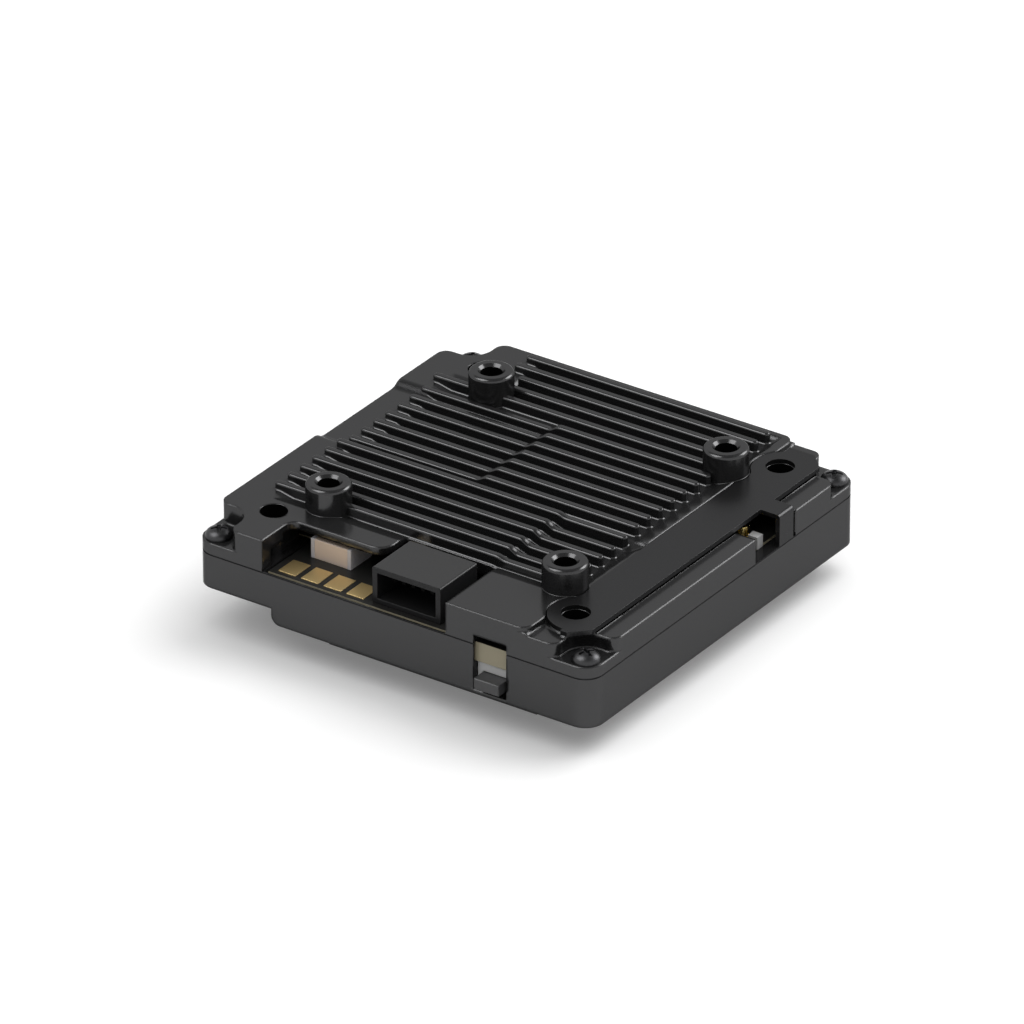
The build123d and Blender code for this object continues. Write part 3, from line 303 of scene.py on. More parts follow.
# %% Node group: height of the ground at a place, in millimetres
FRONT_MARGIN, LEFT_MARGIN, RIGHT_MARGIN, BACK_MARGIN, OVERLAP = 0.35, 0.6, 0.2, 0.85, 1
BACK_STEEPNESS = 3
ground, ground_in, ground_out = new_group("ground height", {"X": FLOAT, "Y": FLOAT}, {"Height": FLOAT})
gx, gy = ground_in.outputs["X"], ground_in.outputs["Y"]
valley_left, valley_right = FIN_LEFT_X + VALLEY_SLOPE + LEFT_MARGIN, FIN_RIGHT_X + RIGHT_MARGIN
floor_z = DECK_Z - VALLEY_DEPTH
# Each slope: the rectangle of its flat ground, the heights of that and of its top, and its run.
sloped = [
    (valley_left, valley_right, FIRST_FIN_Y - FRONT_MARGIN, BOSS_XY, floor_z, DECK_Z, VALLEY_SLOPE),
    (SHORT_FIN_X, valley_right, BOSS_XY - OVERLAP, HALF - BACK_MARGIN, floor_z, DECK_Z,
     VALLEY_SLOPE / BACK_STEEPNESS),
    (valley_left, FIELD_RIGHT_X - HALF_RAMP, FIELD_FRONT_Y + HALF_RAMP, FIELD_BACK_Y - HALF_RAMP,
     floor_z - FIELD_DROP, floor_z, FIELD_RAMP),
    (SIDE_LEFT_X + HALF_RAMP, valley_right, SIDE_FRONT_Y + HALF_RAMP, SIDE_BACK_Y - HALF_RAMP,
     floor_z - FIELD_DROP, floor_z, FIELD_RAMP),
]
height = None
for x0, x1, y0, y1, low, high, slope in sloped:
    away = calculate(ground, "MAXIMUM", outside(ground, gx, gy, x0, x1, y0, y1), 0.0)
    level = calculate(ground, "MULTIPLY_ADD", away, (high - low) / slope, low)
    height = level if height is None else calculate(ground, "MINIMUM", height, level)
for x0, x1, y0, y1 in ((-2 * HALF, FIELD_RIGHT_X, FIELD_FRONT_Y, FIELD_BACK_Y),
                       (SIDE_LEFT_X, BED_X, SIDE_FRONT_Y, SIDE_BACK_Y)):
    rise = soft_step(ground, outside(ground, gx, gy, x0, x1, y0, y1), -HALF_RAMP, HALF_RAMP)
    level = calculate(ground, "MULTIPLY_ADD", rise, FIELD_DROP, DECK_Z - FIELD_DROP)
    height = calculate(ground, "MINIMUM", height, level)
fill(ground, ground_out, {"Height": calculate(ground, "MINIMUM", height, DECK_Z)})
print("ground height:", len(ground.nodes), "nodes")

# %% [markdown]
# ## Sheets of points, shared by fins and bosses
#
# A fin and a boss are both one skin that goes round an outline and up from foot to top. Each starts as a
# flat grid on its own carrier point, and the grid's rows and columns are then put in place by sums. That
# way all copies are made at once, and no outline has to be listed.

# %% Helpers for sheets
WELD, SINK = 0.0005, 0.03


def ground_at(tree, x, y):
    """The height of the ground at this place."""
    return add_node(tree, "GeometryNodeGroup", {"X": x, "Y": y}, node_tree=ground).outputs["Height"]


def stored(tree, geometry, name, value):
    """Keeps a number on every point under a name."""
    return add_node(tree, "GeometryNodeStoreNamedAttribute", {
        "Geometry": geometry, "Name": name, "Value": value}, data_type="FLOAT").outputs["Geometry"]


def recalled(tree, name):
    """Reads the number that each point keeps under a name."""
    return add_node(tree, "GeometryNodeInputNamedAttribute", {"Name": name},
                    data_type="FLOAT").outputs["Attribute"]


def carriers(tree, count, name):
    """Points that all lie at the origin, each with its own number under a name."""
    line = add_node(tree, "GeometryNodeMeshLine", {"Count": count, "Offset": (0, 0, 0)})
    number = add_node(tree, "GeometryNodeInputIndex").outputs["Index"]
    return stored(tree, line.outputs["Mesh"], name, number)


def sheet_on_points(tree, points, rings, levels):
    """A sheet of ring by level points on every carrier point, with both counts kept on it."""
    sheet = add_node(tree, "GeometryNodeMeshGrid", {"Vertices X": rings + 1, "Vertices Y": levels + 1})
    index = add_node(tree, "GeometryNodeInputIndex").outputs["Index"]
    ring = calculate(tree, "DIVIDE", calculate(tree, "ADD", index, 0.5), levels + 1.0)
    ring = calculate(tree, "FLOOR", ring)
    level = calculate(tree, "SUBTRACT", index, calculate(tree, "MULTIPLY", ring, levels + 1.0))
    geometry = stored(tree, sheet.outputs["Mesh"], "ring", ring)
    geometry = stored(tree, geometry, "level", level)
    place = add_node(tree, "GeometryNodeInstanceOnPoints", {"Points": points, "Instance": geometry})
    return add_node(tree, "GeometryNodeRealizeInstances", {
        "Geometry": place.outputs["Instances"]}).outputs["Geometry"]


def moved(tree, geometry, x, y, z, material):
    """Puts the points at x, y, z in millimetres, closes the seams, and gives the result its finish."""
    metres = {axis: calculate(tree, "MULTIPLY", value, MM) for axis, value in zip("XYZ", (x, y, z))}
    place = add_node(tree, "ShaderNodeCombineXYZ", metres).outputs["Vector"]
    move = add_node(tree, "GeometryNodeSetPosition", {"Geometry": geometry, "Position": place})
    weld = add_node(tree, "GeometryNodeMergeByDistance", {
        "Geometry": move.outputs["Geometry"], "Distance": WELD * MM})
    return add_node(tree, "GeometryNodeSetMaterial", {
        "Geometry": weld.outputs["Geometry"], "Material": material}).outputs["Geometry"]


def made(tree, values):
    """Runs a node tree once with the given inputs and returns the result as a plain mesh."""
    carrier = bpy.data.objects.new(tree.name, bpy.data.meshes.new(tree.name))
    bpy.context.scene.collection.objects.link(carrier)
    modifier = carrier.modifiers.new("rule", "NODES")
    modifier.node_group = tree
    for socket in tree.interface.items_tree:
        if socket.in_out == "INPUT" and socket.name in values:
            modifier[socket.identifier] = values[socket.name]
    bpy.context.view_layer.update()
    result = bpy.data.meshes.new_from_object(carrier.evaluated_get(bpy.context.evaluated_depsgraph_get()))
    carrier.modifiers.remove(modifier)
    bpy.data.objects.remove(carrier)
    return result


print("sheet helpers ready")

# %% [markdown]
# ## Fins
#
# The real fins are cast with the deck, so they have a small concave foot, a straight wall and a rounded
# crest, and their ends are half round. Extruded boxes with bevels would miss the feet, which carry much of
# the look. Here each level of the sheet gets its own reach from the fin's middle line and its own height.

# %% The fins' sheets
RUN, TURN = 150, 12
# Levels up a fin: its rounded foot, one step of wall, the rounded crest, and one step to close the top.
ROUND_LEVELS = 4
WALL_LEVEL = ROUND_LEVELS
CREST_LEVEL = WALL_LEVEL + 1
CAP_LEVEL = CREST_LEVEL + ROUND_LEVELS
FIN_COAT = finish("dark cast coat on real roundings", **COAT)
fins, fins_in, fins_out = new_group("fins", {
    "Count": WHOLE, "Pitch": FLOAT, "First Y": FLOAT, "Thickness": FLOAT, "Crest R": FLOAT, "Foot R": FLOAT,
    "Top Z": FLOAT, "Drop": FLOAT, "Left X": FLOAT, "Right X": FLOAT, "Short Left X": FLOAT,
    "Back Left X": FLOAT}, {"Geometry": GEOMETRY})
given = fins_in.outputs
add, less, times, times_add, sine, cosine = arithmetic(fins)
sheets = sheet_on_points(fins, carriers(fins, given["Count"], "fin"), 2 * (RUN + TURN), CAP_LEVEL + 1)
fin, ring, level = (recalled(fins, name) for name in ("fin", "ring", "level"))
print("each fin:", 2 * (RUN + TURN), "points round,", CAP_LEVEL + 1, "levels")


# %% How far along, round and up each point is
def share(start, length, value=ring):
    """Runs from 0 to 1 while the value goes on from start by length."""
    return limited(fins, calculate(fins, "DIVIDE", less(value, float(start)), float(length)))


QUARTER = math.pi / 2
along = less(share(0, RUN), share(RUN + TURN, RUN))
turned = add(share(RUN, TURN), share(2 * RUN + TURN, TURN))
angle = times_add(turned, math.pi, -QUARTER)
foot_turn = times(share(0, ROUND_LEVELS, level), QUARTER)
crest_turn = times(share(CREST_LEVEL, ROUND_LEVELS, level), QUARTER)
print("fin shares ready,", len(fins.nodes), "nodes")

# %% Where each point lies, seen from above
half_width = times(given["Thickness"], 0.5)
is_back = calculate(fins, "GREATER_THAN", fin, FIRST_BACK_FIN - 0.5)
is_short = less(calculate(fins, "GREATER_THAN", fin, FIRST_SHORT_FIN - 0.5), is_back)
left = times_add(is_short, less(given["Short Left X"], given["Left X"]), given["Left X"])
left = times_add(is_back, less(given["Back Left X"], given["Left X"]), left)
start = add(left, half_width)
end = less(given["Right X"], half_width)
centre_x = times_add(along, less(end, start), start)
centre_y = times_add(fin, given["Pitch"], given["First Y"])
flare = times(given["Foot R"], less(1.0, sine(foot_turn)))
crest = times(given["Crest R"], less(1.0, cosine(crest_turn)))
closing = times(share(CAP_LEVEL, 1, level), less(half_width, given["Crest R"]))
reach = less(less(add(half_width, flare), crest), closing)
fin_x = times_add(reach, cosine(angle), centre_x)
fin_y = times_add(reach, sine(angle), centre_y)
print("fin places ready,", len(fins.nodes), "nodes")

# %% How high each point lies
# A fin on the edge of the right field is lowered by half, the next one by the whole drop.
in_field = times(calculate(fins, "GREATER_THAN", fin, FIELD_FIRST_FIN - 0.5),
                 calculate(fins, "LESS_THAN", fin, FIELD_LAST_FIN + 0.5))
in_side = limited(fins, calculate(fins, "MINIMUM", times_add(fin, 0.5, 0.5),
                                  times_add(fin, -0.5, (SIDE_LAST_FIN + 1) / 2)))
left_low = less(1.0, soft_step(fins, fin_x, FIELD_RIGHT_X - HALF_RAMP, FIELD_RIGHT_X + HALF_RAMP))
right_low = soft_step(fins, fin_x, SIDE_LEFT_X - HALF_RAMP, SIDE_LEFT_X + HALF_RAMP)
lowered = add(times(in_field, left_low), times(in_side, right_low))
top = less(given["Top Z"], times(lowered, given["Drop"]))
base = ground_at(fins, fin_x, fin_y)
wall = less(less(top, given["Crest R"]), add(base, given["Foot R"]))
fin_z = add(base, times(given["Foot R"], less(1.0, cosine(foot_turn))))
fin_z = times_add(wall, share(WALL_LEVEL, 1, level), fin_z)
fin_z = times_add(sine(crest_turn), given["Crest R"], fin_z)
fin_z = times_add(less(1.0, share(0, 1, level)), -SINK, fin_z)
fill(fins, fins_out, {"Geometry": moved(fins, sheets, fin_x, fin_y, fin_z, FIN_COAT)})
print("fin heights ready,", len(fins.nodes), "nodes")

# %% Grow the fins
fins_mesh = made(fins, {
    "Count": FIN_COUNT, "Pitch": FIN_PITCH, "First Y": FIRST_FIN_Y, "Thickness": FIN_T,
    "Crest R": FIN_EDGE_R, "Foot R": FOOT_R, "Top Z": FIN_TOP_Z, "Drop": FIELD_DROP, "Left X": FIN_LEFT_X,
    "Right X": FIN_RIGHT_X, "Short Left X": SHORT_FIN_X, "Back Left X": BACK_FIN_X})
print("fins:", len(fins_mesh.polygons), "faces")

# %% [markdown]
# ## Bosses
#
# The four bosses take the screws that hold the module. They grow by the same idea, because their feet
# follow the same ground: rings and levels, a concave foot, a rounded shoulder, a flat rim, the countersunk
# mouth and the blind hole. The group places them on a square pattern.

# %% The bosses' sheets
BOSS_R, BOSS_TOP_Z, SHOULDER_R, BOSS_FOOT_R = 1.65, 10.65, 0.3, 0.04
HOLE_R, MOUTH, HOLE_DEPTH = 0.8, 0.2, 2.4
BOSS_COUNT, BOSS_TURN, BOSS_ROUND = 4, 96, 6
# Levels up a boss: its rounded foot, one step of wall, the rounded shoulder, then one step each for the rim,
# the mouth, the bore and its bottom.
SHOULDER_LEVEL = BOSS_ROUND + 1
RIM_LEVEL = SHOULDER_LEVEL + BOSS_ROUND
MOUTH_LEVEL, BORE_LEVEL, BOTTOM_LEVEL = RIM_LEVEL + 1, RIM_LEVEL + 2, RIM_LEVEL + 3
bosses, bosses_in, bosses_out = new_group("bosses", {
    "Reach": FLOAT, "Radius": FLOAT, "Top Z": FLOAT, "Shoulder R": FLOAT, "Foot R": FLOAT, "Hole R": FLOAT,
    "Mouth": FLOAT, "Depth": FLOAT}, {"Geometry": GEOMETRY})
given = bosses_in.outputs
add, less, times, times_add, sine, cosine = arithmetic(bosses)
sheets = sheet_on_points(bosses, carriers(bosses, BOSS_COUNT, "boss"), BOSS_TURN, BOTTOM_LEVEL + 1)
which, ring, level = (recalled(bosses, name) for name in ("boss", "ring", "level"))
print("each boss:", BOSS_TURN, "points round,", BOTTOM_LEVEL + 1, "levels")


# %% How wide each level is, and where it lies
def step_of(first, count=1):
    """Runs from 0 to 1 while the level goes on from the first by the count."""
    return limited(bosses, calculate(bosses, "DIVIDE", less(level, float(first)), float(count)))


def quarter(first):
    """The angle on a rounding that starts at this level."""
    return times(step_of(first, BOSS_ROUND), QUARTER)


odd = calculate(bosses, "GREATER_THAN", calculate(bosses, "MODULO", which, 2.0), 0.5)
side_x = times_add(odd, 2.0, -1.0)
side_y = times_add(calculate(bosses, "GREATER_THAN", which, 1.5), 2.0, -1.0)
angle = times(ring, 2 * math.pi / BOSS_TURN)
rim = less(less(less(given["Radius"], given["Shoulder R"]), given["Hole R"]), given["Mouth"])
radius = times_add(given["Foot R"], less(1.0, sine(quarter(0))), given["Radius"])
radius = less(radius, times(given["Shoulder R"], less(1.0, cosine(quarter(SHOULDER_LEVEL)))))
radius = less(radius, times(rim, step_of(RIM_LEVEL)))
radius = less(radius, times(given["Mouth"], step_of(MOUTH_LEVEL)))
radius = less(radius, times(given["Hole R"], step_of(BOTTOM_LEVEL)))
boss_x = times_add(side_x, given["Reach"], times(radius, cosine(angle)))
boss_y = times_add(side_y, given["Reach"], times(radius, sine(angle)))
print("boss places ready,", len(bosses.nodes), "nodes")

# %% How high each level is
base = ground_at(bosses, boss_x, boss_y)
wall = less(less(given["Top Z"], given["Shoulder R"]), add(base, given["Foot R"]))
boss_z = times_add(given["Foot R"], less(1.0, cosine(quarter(0))), base)
boss_z = times_add(wall, step_of(BOSS_ROUND), boss_z)
boss_z = times_add(sine(quarter(SHOULDER_LEVEL)), given["Shoulder R"], boss_z)
boss_z = less(boss_z, times(given["Mouth"], step_of(MOUTH_LEVEL)))
boss_z = less(boss_z, times(less(given["Depth"], given["Mouth"]), step_of(BORE_LEVEL)))
boss_z = times_add(less(1.0, step_of(0)), -SINK, boss_z)
fill(bosses, bosses_out, {"Geometry": moved(bosses, sheets, boss_x, boss_y, boss_z, FIN_COAT)})
bosses_mesh = made(bosses, {"Reach": BOSS_XY, "Radius": BOSS_R, "Top Z": BOSS_TOP_Z, "Shoulder R": SHOULDER_R,
                            "Foot R": BOSS_FOOT_R, "Hole R": HOLE_R, "Mouth": MOUTH, "Depth": HOLE_DEPTH})
print("bosses:", len(bosses_mesh.polygons), "faces,", len(bosses.nodes), "nodes")

# %% [markdown]
# ## The upper casting with its grown fins
#
# On the real object the deck, fins and bosses are one casting. The imported casting is copied, the facets of
# its plain fins and bosses are taken out of the copy, and the grown ones stand at the same place with the
# same size. A boolean union could join them too, but it often leaves slivers that shade badly. Here the
# concave feet cover the cuts. Walls that lie in deep shadow on the real object, such as bores, the parting
# groove and the wall under the plate, get a near-black finish: their shade is painted, not lit.

# %% Copies that can be edited
def editable_copy(name):
    """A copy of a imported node's mesh, and the same open for editing."""
    mesh = nodes[name].data.copy()
    work = bmesh.new()
    work.from_mesh(mesh)
    return mesh, work


def piece(name, mesh, slot):
    """A new piece of the module, with the finish of its slot."""
    mesh.materials.clear()
    mesh.materials.append(FINISHES[slot])
    made_of = bpy.data.objects.new(name, mesh)
    bpy.context.scene.collection.objects.link(made_of)
    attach(made_of, "module")
    return made_of


# A near-black finish that paints the shade in bores, the parting groove and the wall under the plate.
PAINTED_SHADE = finish("bore, out of the light", (0.003, 0.003, 0.003), 0.6, ior=1.02)
NEAR, VERY_NEAR = 0.01, 0.001


def paint_shade_in_bores(mesh, reach, radius):
    """The walls of the four holes on a square pattern get a near-black finish, the painted shade of a deep
    bore.
    """
    mesh.materials.append(PAINTED_SHADE)
    for face in mesh.polygons:
        x, y = (abs(value) / MM for value in face.center.xy)
        if math.hypot(x - reach, y - reach) < radius + NEAR:
            face.material_index = 1


print("piece helpers ready")


# %% Which facets belong to the plain fins and bosses
# The lowest ground lies at 8.0, so this height is just below it.
BELOW_GROUND_Z, SLACK = 7.9, 0.004


def left_end(index):
    """Where the fin of this number starts, which is one of three places."""
    if index >= FIRST_BACK_FIN:
        return BACK_FIN_X
    return SHORT_FIN_X if index >= FIRST_SHORT_FIN else FIN_LEFT_X


def on_fin(points):
    """All these points lie within one fin's outline, above its floor."""
    middle = sum(p.y for p in points) / len(points) / MM
    index = min(FIN_COUNT - 1, max(0, round((middle - FIRST_FIN_Y) / FIN_PITCH)))
    y = FIRST_FIN_Y + index * FIN_PITCH
    return (max(p.z for p in points) / MM > BELOW_GROUND_Z
            and all(abs(p.y / MM - y) < FIN_T / 2 + SLACK for p in points)
            and all(left_end(index) - SLACK < p.x / MM < FIN_RIGHT_X + SLACK for p in points))


def on_boss(points):
    """All these points lie within one boss's outline, above its floor."""
    x, y = (math.copysign(BOSS_XY, sum(p[axis] for p in points)) for axis in (0, 1))
    return (max(p.z for p in points) / MM > BELOW_GROUND_Z
            and all(math.hypot(p.x / MM - x, p.y / MM - y) < BOSS_R + SLACK for p in points))


def is_plain(points):
    return on_fin(points) or on_boss(points)


casting, work = editable_copy("upper_shell")
plain = [face for face in work.faces if is_plain([vert.co for vert in face.verts])]
print("plain fin and boss facets taken out:", len(plain), "of", len(work.faces))
bmesh.ops.delete(work, geom=plain, context="FACES")
work.to_mesh(casting)
work.free()
shell = piece("upper_casting", casting, "cast_dark")

# %% Painted shade in the bores, groove and plate seat
FRAME_XY, FRAME_HOLE_R = HALF - 4.0, 1.0
GROOVE, RIM_Z, SEAT_Z, SEAT_X = 0.06, DECK_Z - 0.5, DECK_Z - 0.35, HALF - 1.65
paint_shade_in_bores(casting, FRAME_XY, FRAME_HOLE_R)
# The parting groove and the seat wall under the plate get the same painted shade.
for face in casting.polygons:
    heights = [casting.vertices[index].co.z / MM for index in face.vertices]
    in_groove = max(heights) < PARTING_Z + GROOVE + VERY_NEAR
    on_seat_wall = abs(face.center.x / MM - SEAT_X) < NEAR
    under_plate = on_seat_wall and min(heights) > RIM_Z - NEAR and max(heights) < SEAT_Z + NEAR
    if in_groove or under_plate:
        face.material_index = 1
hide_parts("upper_shell")
print("dark faces:", sum(face.material_index for face in casting.polygons), "of", len(casting.polygons))

# %% Stand the grown fins and bosses in it
SHARP_CAST = 35
grown = bpy.data.meshes.new("fins and bosses")
work = bmesh.new()
work.from_mesh(fins_mesh)
work.from_mesh(bosses_mesh)
bmesh.ops.recalc_face_normals(work, faces=work.faces[:])
for face in work.faces:
    face.smooth = True
    face.material_index = 0
work.to_mesh(grown)
work.free()
grown.set_sharp_from_angle(angle=math.radians(SHARP_CAST))
stand = piece("fins_and_bosses", grown, "cast_dark")
grown.materials[0] = FIN_COAT
# The boss holes get the painted shade as well.
paint_shade_in_bores(grown, BOSS_XY, HOLE_R)
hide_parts("upper_shell")
print("casting:", len(casting.polygons), "faces, fins and bosses:", len(grown.polygons), "faces")

# %% [markdown]
# ## Screws
#
# Four small machine screws hold the castings together. Their heads are domed, with a tapered cross recess.
# A boolean cut would do, but it often shades badly on a dome, so the head is drawn as rings of points whose
# heights follow a formula. A node group then repeats it on the square pattern, each head turned by chance,
# as screws stop where they are tight.

# %% One screw head
HEAD_R, HEAD_H, HEAD_EDGE, HEAD_Z = 1.0, 0.72, 0.16, 7.05
DOME_OUT, DOME_UP = 2.4, 0.6
ARM_L, ARM_W, ARM_DEPTH, ARM_TAPER, ARM_RISE = 0.60, 0.15, 0.40, 0.05, 0.45
MIDDLE_W, MIDDLE_SLOPE, MIDDLE_MOST = 0.24, 0.7, 0.1
CIRCLE, RINGS, CROWDING = 144, 60, 0.9


def head_height(x, y):
    """The height of the head above its seat: a flattened dome less the cross recess."""
    r = min(1, math.hypot(x, y) / HEAD_R)
    dome = HEAD_EDGE + (HEAD_H - HEAD_EDGE) * (1 - r ** DOME_OUT) ** DOME_UP
    along_x = min(ARM_L - abs(x), ARM_W - abs(y))
    along_y = min(ARM_L - abs(y), ARM_W - abs(x))
    middle = min(MIDDLE_W - abs(x) * MIDDLE_SLOPE - abs(y) * MIDDLE_SLOPE, MIDDLE_MOST)
    sunk = max(0, min(1, max(along_x, along_y, middle) / ARM_TAPER))
    tip = 1 - ARM_RISE * math.hypot(x, y) / ARM_L
    return dome - ARM_DEPTH * tip * sunk


head = bmesh.new()
rows = [[head.verts.new((0, 0, head_height(0, 0) * MM))]]
for step in range(1, RINGS + 1):
    r = HEAD_R * (step / RINGS) ** CROWDING
    turns = [2 * math.pi * k / CIRCLE for k in range(CIRCLE)]
    spots = [(r * math.cos(turn), r * math.sin(turn)) for turn in turns]
    rows.append([head.verts.new((x * MM, y * MM, head_height(x, y) * MM)) for x, y in spots])
rows.append([head.verts.new((v.co.x, v.co.y, 0)) for v in rows[-1]])
for k in range(CIRCLE):
    head.faces.new((rows[0][0], rows[1][k], rows[1][(k + 1) % CIRCLE]))
    for inner, outer in zip(rows[1:], rows[2:]):
        head.faces.new((inner[k], outer[k], outer[(k + 1) % CIRCLE], inner[(k + 1) % CIRCLE]))
bmesh.ops.recalc_face_normals(head, faces=head.faces[:])
head_mesh = bpy.data.meshes.new("screw head")
head.to_mesh(head_mesh)
head.free()
head_object = bpy.data.objects.new("screw head", head_mesh)
bpy.context.scene.collection.objects.link(head_object)
print("screw head:", len(head_mesh.polygons), "faces")

# %% Node group: a square pattern
pattern, pattern_in, pattern_out = new_group(
    "square pattern", {"Piece": OBJECT, "Spacing": FLOAT, "Height": FLOAT, "Seed": WHOLE},
    {"Geometry": GEOMETRY})
given = pattern_in.outputs
spots = add_node(pattern, "GeometryNodeMeshGrid", {
    "Vertices X": 2, "Vertices Y": 2, "Size X": given["Spacing"], "Size Y": given["Spacing"]})
offset = add_node(pattern, "ShaderNodeCombineXYZ", {"Z": given["Height"]})
lift = add_node(pattern, "GeometryNodeSetPosition", {
    "Geometry": spots.outputs["Mesh"], "Offset": offset.outputs["Vector"]})
# Sockets 2 and 3 are the least and the greatest number, and output 1 is the number drawn.
chance = add_node(pattern, "FunctionNodeRandomValue", {2: 0.0, 3: math.pi, "Seed": given["Seed"]},
                  data_type="FLOAT")
twist = add_node(pattern, "ShaderNodeCombineXYZ", {"Z": chance.outputs[1]})
fetch = add_node(pattern, "GeometryNodeObjectInfo", {"Object": given["Piece"]})
repeat = add_node(pattern, "GeometryNodeInstanceOnPoints", {
    "Points": lift.outputs["Geometry"], "Instance": fetch.outputs["Geometry"],
    "Rotation": twist.outputs["Vector"]})
real = add_node(pattern, "GeometryNodeRealizeInstances", {"Geometry": repeat.outputs["Instances"]})
paint = add_node(pattern, "GeometryNodeSetMaterial", {
    "Geometry": real.outputs["Geometry"], "Material": FINISHES["screw_steel"]})
fill(pattern, pattern_out, {"Geometry": paint.outputs["Geometry"]})
SCREW_XY, SEED = HALF - 1.25, 4
heads_mesh = made(pattern, {"Piece": head_object, "Spacing": 2 * SCREW_XY * MM, "Height": HEAD_Z * MM,
                            "Seed": SEED})
bpy.data.objects.remove(head_object)
print("four heads:", len(heads_mesh.polygons), "faces")

# %% Heads on their own shanks
CUT_ABOVE, SHARP_STEEL = 0.02, 38
screws_mesh, work = editable_copy("shell_screws")
plain = [face for face in work.faces if max(v.co.z for v in face.verts) > (HEAD_Z + CUT_ABOVE) * MM]
bmesh.ops.delete(work, geom=plain, context="FACES")
work.from_mesh(heads_mesh)
for face in work.faces:
    face.smooth = True
    face.material_index = 0
work.to_mesh(screws_mesh)
work.free()
screws_mesh.set_sharp_from_angle(angle=math.radians(SHARP_STEEL))
screws = piece("cross_head_screws", screws_mesh, "screw_steel")
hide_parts("shell_screws")
print("screws:", len(screws_mesh.polygons), "faces")

# %% [markdown]
# ## A white studio that lights plainly
#
# The photograph shows the module on a white ground that fades out all round. A bright white room would wash
# a dark coat out, so two things are kept apart. What the camera sees, also by way of a mirror or glass, is
# white. What carries light to matt surfaces is a plain grey. The coat is dark and mostly metallic, so what
# the eye finds on it is the white surround, and it is darker overhead so that level faces don't turn pale.

# %% Which rays see the white background
def shown_white(tree):
    """1 for what the camera sees, also by way of a mirror or glass, and 0 for rays that carry light."""
    ray = add_node(tree, "ShaderNodeLightPath").outputs
    mirrored = calculate(tree, "MAXIMUM", ray["Is Glossy Ray"], ray["Is Transmission Ray"])
    return calculate(tree, "MAXIMUM", ray["Is Camera Ray"], mirrored)


print("ray helper ready")

# %% Surround
ROOM_GREY, WHITE_UP_TO, OVERHEAD_FROM, OVERHEAD_GREY = 0.30, 0.62, 0.74, 0.22
world = bpy.data.worlds.new("pale surround")
bpy.context.scene.world = world
world.use_nodes = True
sky = world.node_tree
where = add_node(sky, "ShaderNodeTexCoord").outputs["Generated"]
look_up = add_node(sky, "ShaderNodeSeparateXYZ", {"Vector": where}).outputs["Z"]
ramp = add_node(sky, "ShaderNodeValToRGB", {"Fac": look_up})
for stop, position, shade in zip(ramp.color_ramp.elements, (WHITE_UP_TO, OVERHEAD_FROM), (1, OVERHEAD_GREY)):
    stop.position = position
    stop.color = grey(shade)
choice = add_node(sky, "ShaderNodeMix", {
    "Factor": shown_white(sky), "A": grey(ROOM_GREY), "B": ramp.outputs["Color"]}, data_type="RGBA")
fill(sky, sky.nodes["Background"], {"Color": choice.outputs["Result"]})
print("surround:", len(sky.nodes), "nodes")

# %% [markdown]
# ## Floor
#
# The module stands on a plain matt sheet. For the camera the sheet is near white and glows a little, so
# that it melts into the surround but keeps the module's shadow. For rays that carry light it is a darker
# matt grey, and sends little up to the walls. The glow could be a lamp from below, but that would light the
# object too.

# %% Floor
FLOOR_REACH, FLOOR_GREY, SHOWN_GREY, GLOW = 4.0, 0.36, 0.84, 0.16
floor_mesh = bpy.data.meshes.new("floor")
square = [(x * FLOOR_REACH, y * FLOOR_REACH, 0) for x, y in ((-1, -1), (1, -1), (1, 1), (-1, 1))]
floor_mesh.from_pydata(square, [], [(0, 1, 2, 3)])
floor = bpy.data.objects.new("floor", floor_mesh)
bpy.context.scene.collection.objects.link(floor)
paint = bpy.data.materials.new("floor paint")
paint.use_nodes = True
tree = paint.node_tree
tree.nodes.remove(tree.nodes["Principled BSDF"])
matt = add_node(tree, "ShaderNodeBsdfDiffuse", {"Color": grey(FLOOR_GREY)})
lit = add_node(tree, "ShaderNodeBsdfDiffuse", {"Color": grey(SHOWN_GREY)})
glow = add_node(tree, "ShaderNodeEmission", {"Strength": GLOW})
shown = add_node(tree, "ShaderNodeAddShader", {0: lit.outputs["BSDF"], 1: glow.outputs["Emission"]})
choose = add_node(tree, "ShaderNodeMixShader", {
    "Fac": shown_white(tree), 1: matt.outputs["BSDF"], 2: shown.outputs["Shader"]})
fill(tree, tree.nodes["Material Output"], {"Surface": choose.outputs["Shader"]})
floor_mesh.materials.append(paint)
print("floor:", 2 * FLOOR_REACH, "m square")

# %% [markdown]
# ## Camera
#
# The photograph's lines hardly converge, so it was taken from far away with a long lens. The angles were
# fitted to the holes, bosses and corner screws. The aim is a point low on the module's axis, moved sideways
# and up until the render lay over the photograph.

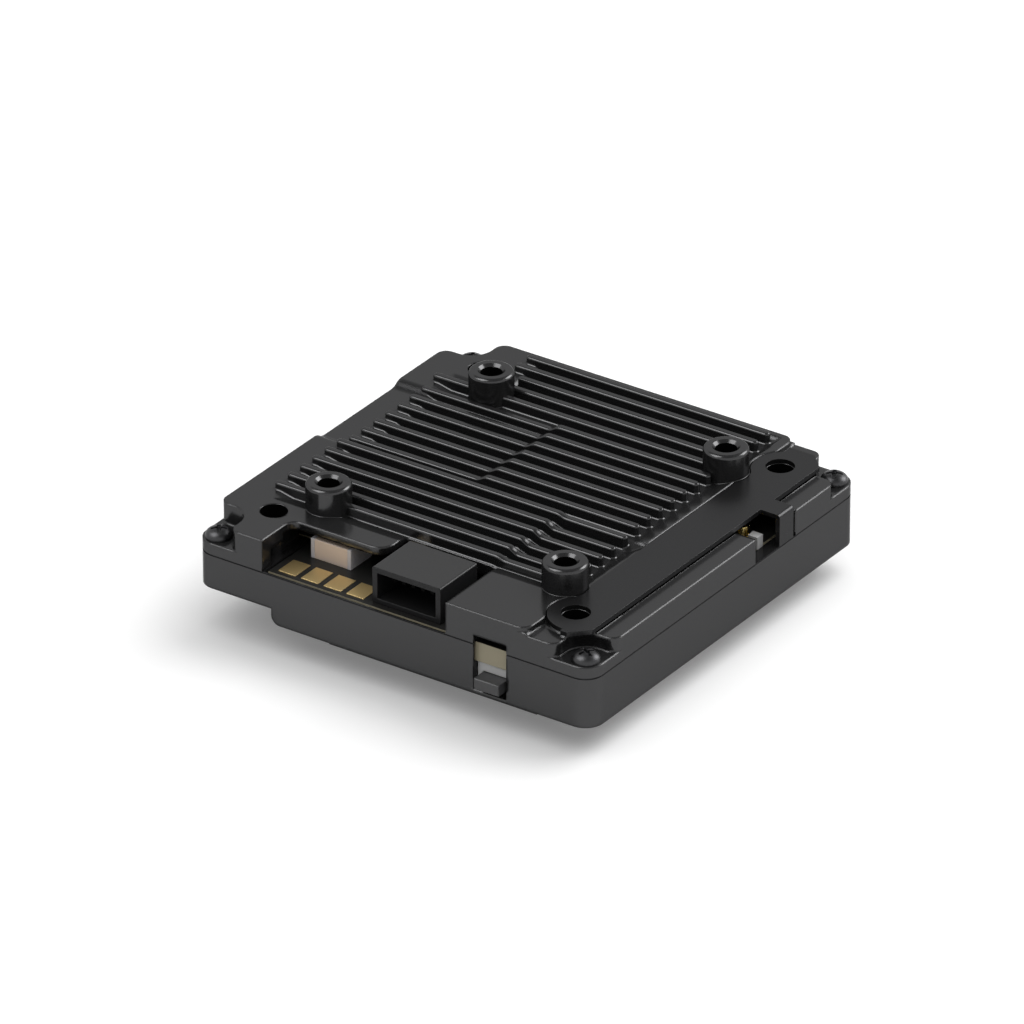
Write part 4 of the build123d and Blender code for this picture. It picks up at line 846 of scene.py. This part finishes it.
# %% Camera at the photograph's angle
AZIMUTH, ELEVATION = math.radians(34.5228), math.radians(28.7865)
DISTANCE, LENS, SENSOR = 900 * MM, 450.12, 36
AIM_Z, PAN_LEFT, PAN_UP = 1.5 * MM, 1.112 * MM, 4.62 * MM
back = Vector((math.sin(AZIMUTH) * math.cos(ELEVATION), -math.cos(AZIMUTH) * math.cos(ELEVATION),
               math.sin(ELEVATION)))
right = Vector((math.cos(AZIMUTH), math.sin(AZIMUTH), 0))
up = back.cross(right)
aim = Vector((0, 0, AIM_Z)) - right * PAN_LEFT + up * PAN_UP
camera = bpy.data.objects.new("camera", bpy.data.cameras.new("camera"))
bpy.context.scene.collection.objects.link(camera)
camera.data.lens = LENS
camera.data.sensor_width = SENSOR
camera.data.clip_start = 0.01
camera.data.clip_end = 20
camera.rotation_mode = "QUATERNION"
camera.location = aim + back * DISTANCE
camera.rotation_quaternion = (-back).to_track_quat("-Z", "Y")
bpy.context.scene.camera = camera
print("camera at", [round(v, 3) for v in camera.location])

# %% [markdown]
# ## Lamps
#
# The photograph has a soft shadow towards the camera and thin bright lines on the roundings. One lamp can't
# set both, because a lamp that gives the shadow its depth makes the lines far too bright. So two lamps show
# only in shiny surfaces and draw the lines, and two others light only matt surfaces: a key from behind,
# which throws the shadow forward, and a wide one overhead, which softens it.

# %% Soft lamps
def softbox(name, zenith, azimuth, distance, size, power, in_mirrors):
    """Square area lamp that looks at the object, placed by its angle from straight up and its azimuth.

    It either shows in shiny surfaces or lights matt ones, so that shine and shadow are set apart."""
    z, a = math.radians(zenith), math.radians(azimuth)
    direction = Vector((math.sin(a) * math.sin(z), -math.cos(a) * math.sin(z), math.cos(z)))
    lamp = bpy.data.objects.new(name, bpy.data.lights.new(name, "AREA"))
    bpy.context.scene.collection.objects.link(lamp)
    lamp.data.shape = "SQUARE"
    lamp.data.size = size
    lamp.data.energy = power
    lamp.rotation_mode = "QUATERNION"
    lamp.location = direction * distance
    lamp.rotation_quaternion = (-direction).to_track_quat("-Z", "Y")
    lamp.visible_glossy = in_mirrors
    lamp.visible_diffuse = not in_mirrors


softbox("shine", zenith=33, azimuth=-42, distance=0.5, size=0.32, power=1.7, in_mirrors=True)
softbox("edge_shine", zenith=58, azimuth=146, distance=0.5, size=0.28, power=1.8, in_mirrors=True)
softbox("key_from_behind", zenith=38, azimuth=152, distance=0.5, size=0.40, power=1.45, in_mirrors=False)
softbox("wide_fill", zenith=4, azimuth=120, distance=0.6, size=1.2, power=4.2, in_mirrors=False)

# %% [markdown]
# ## View transform
#
# The Standard view shows a colour about as it is written, which a plain product picture needs.

# %% Finish
bpy.context.scene.view_settings.view_transform = "Standard"
write_size()
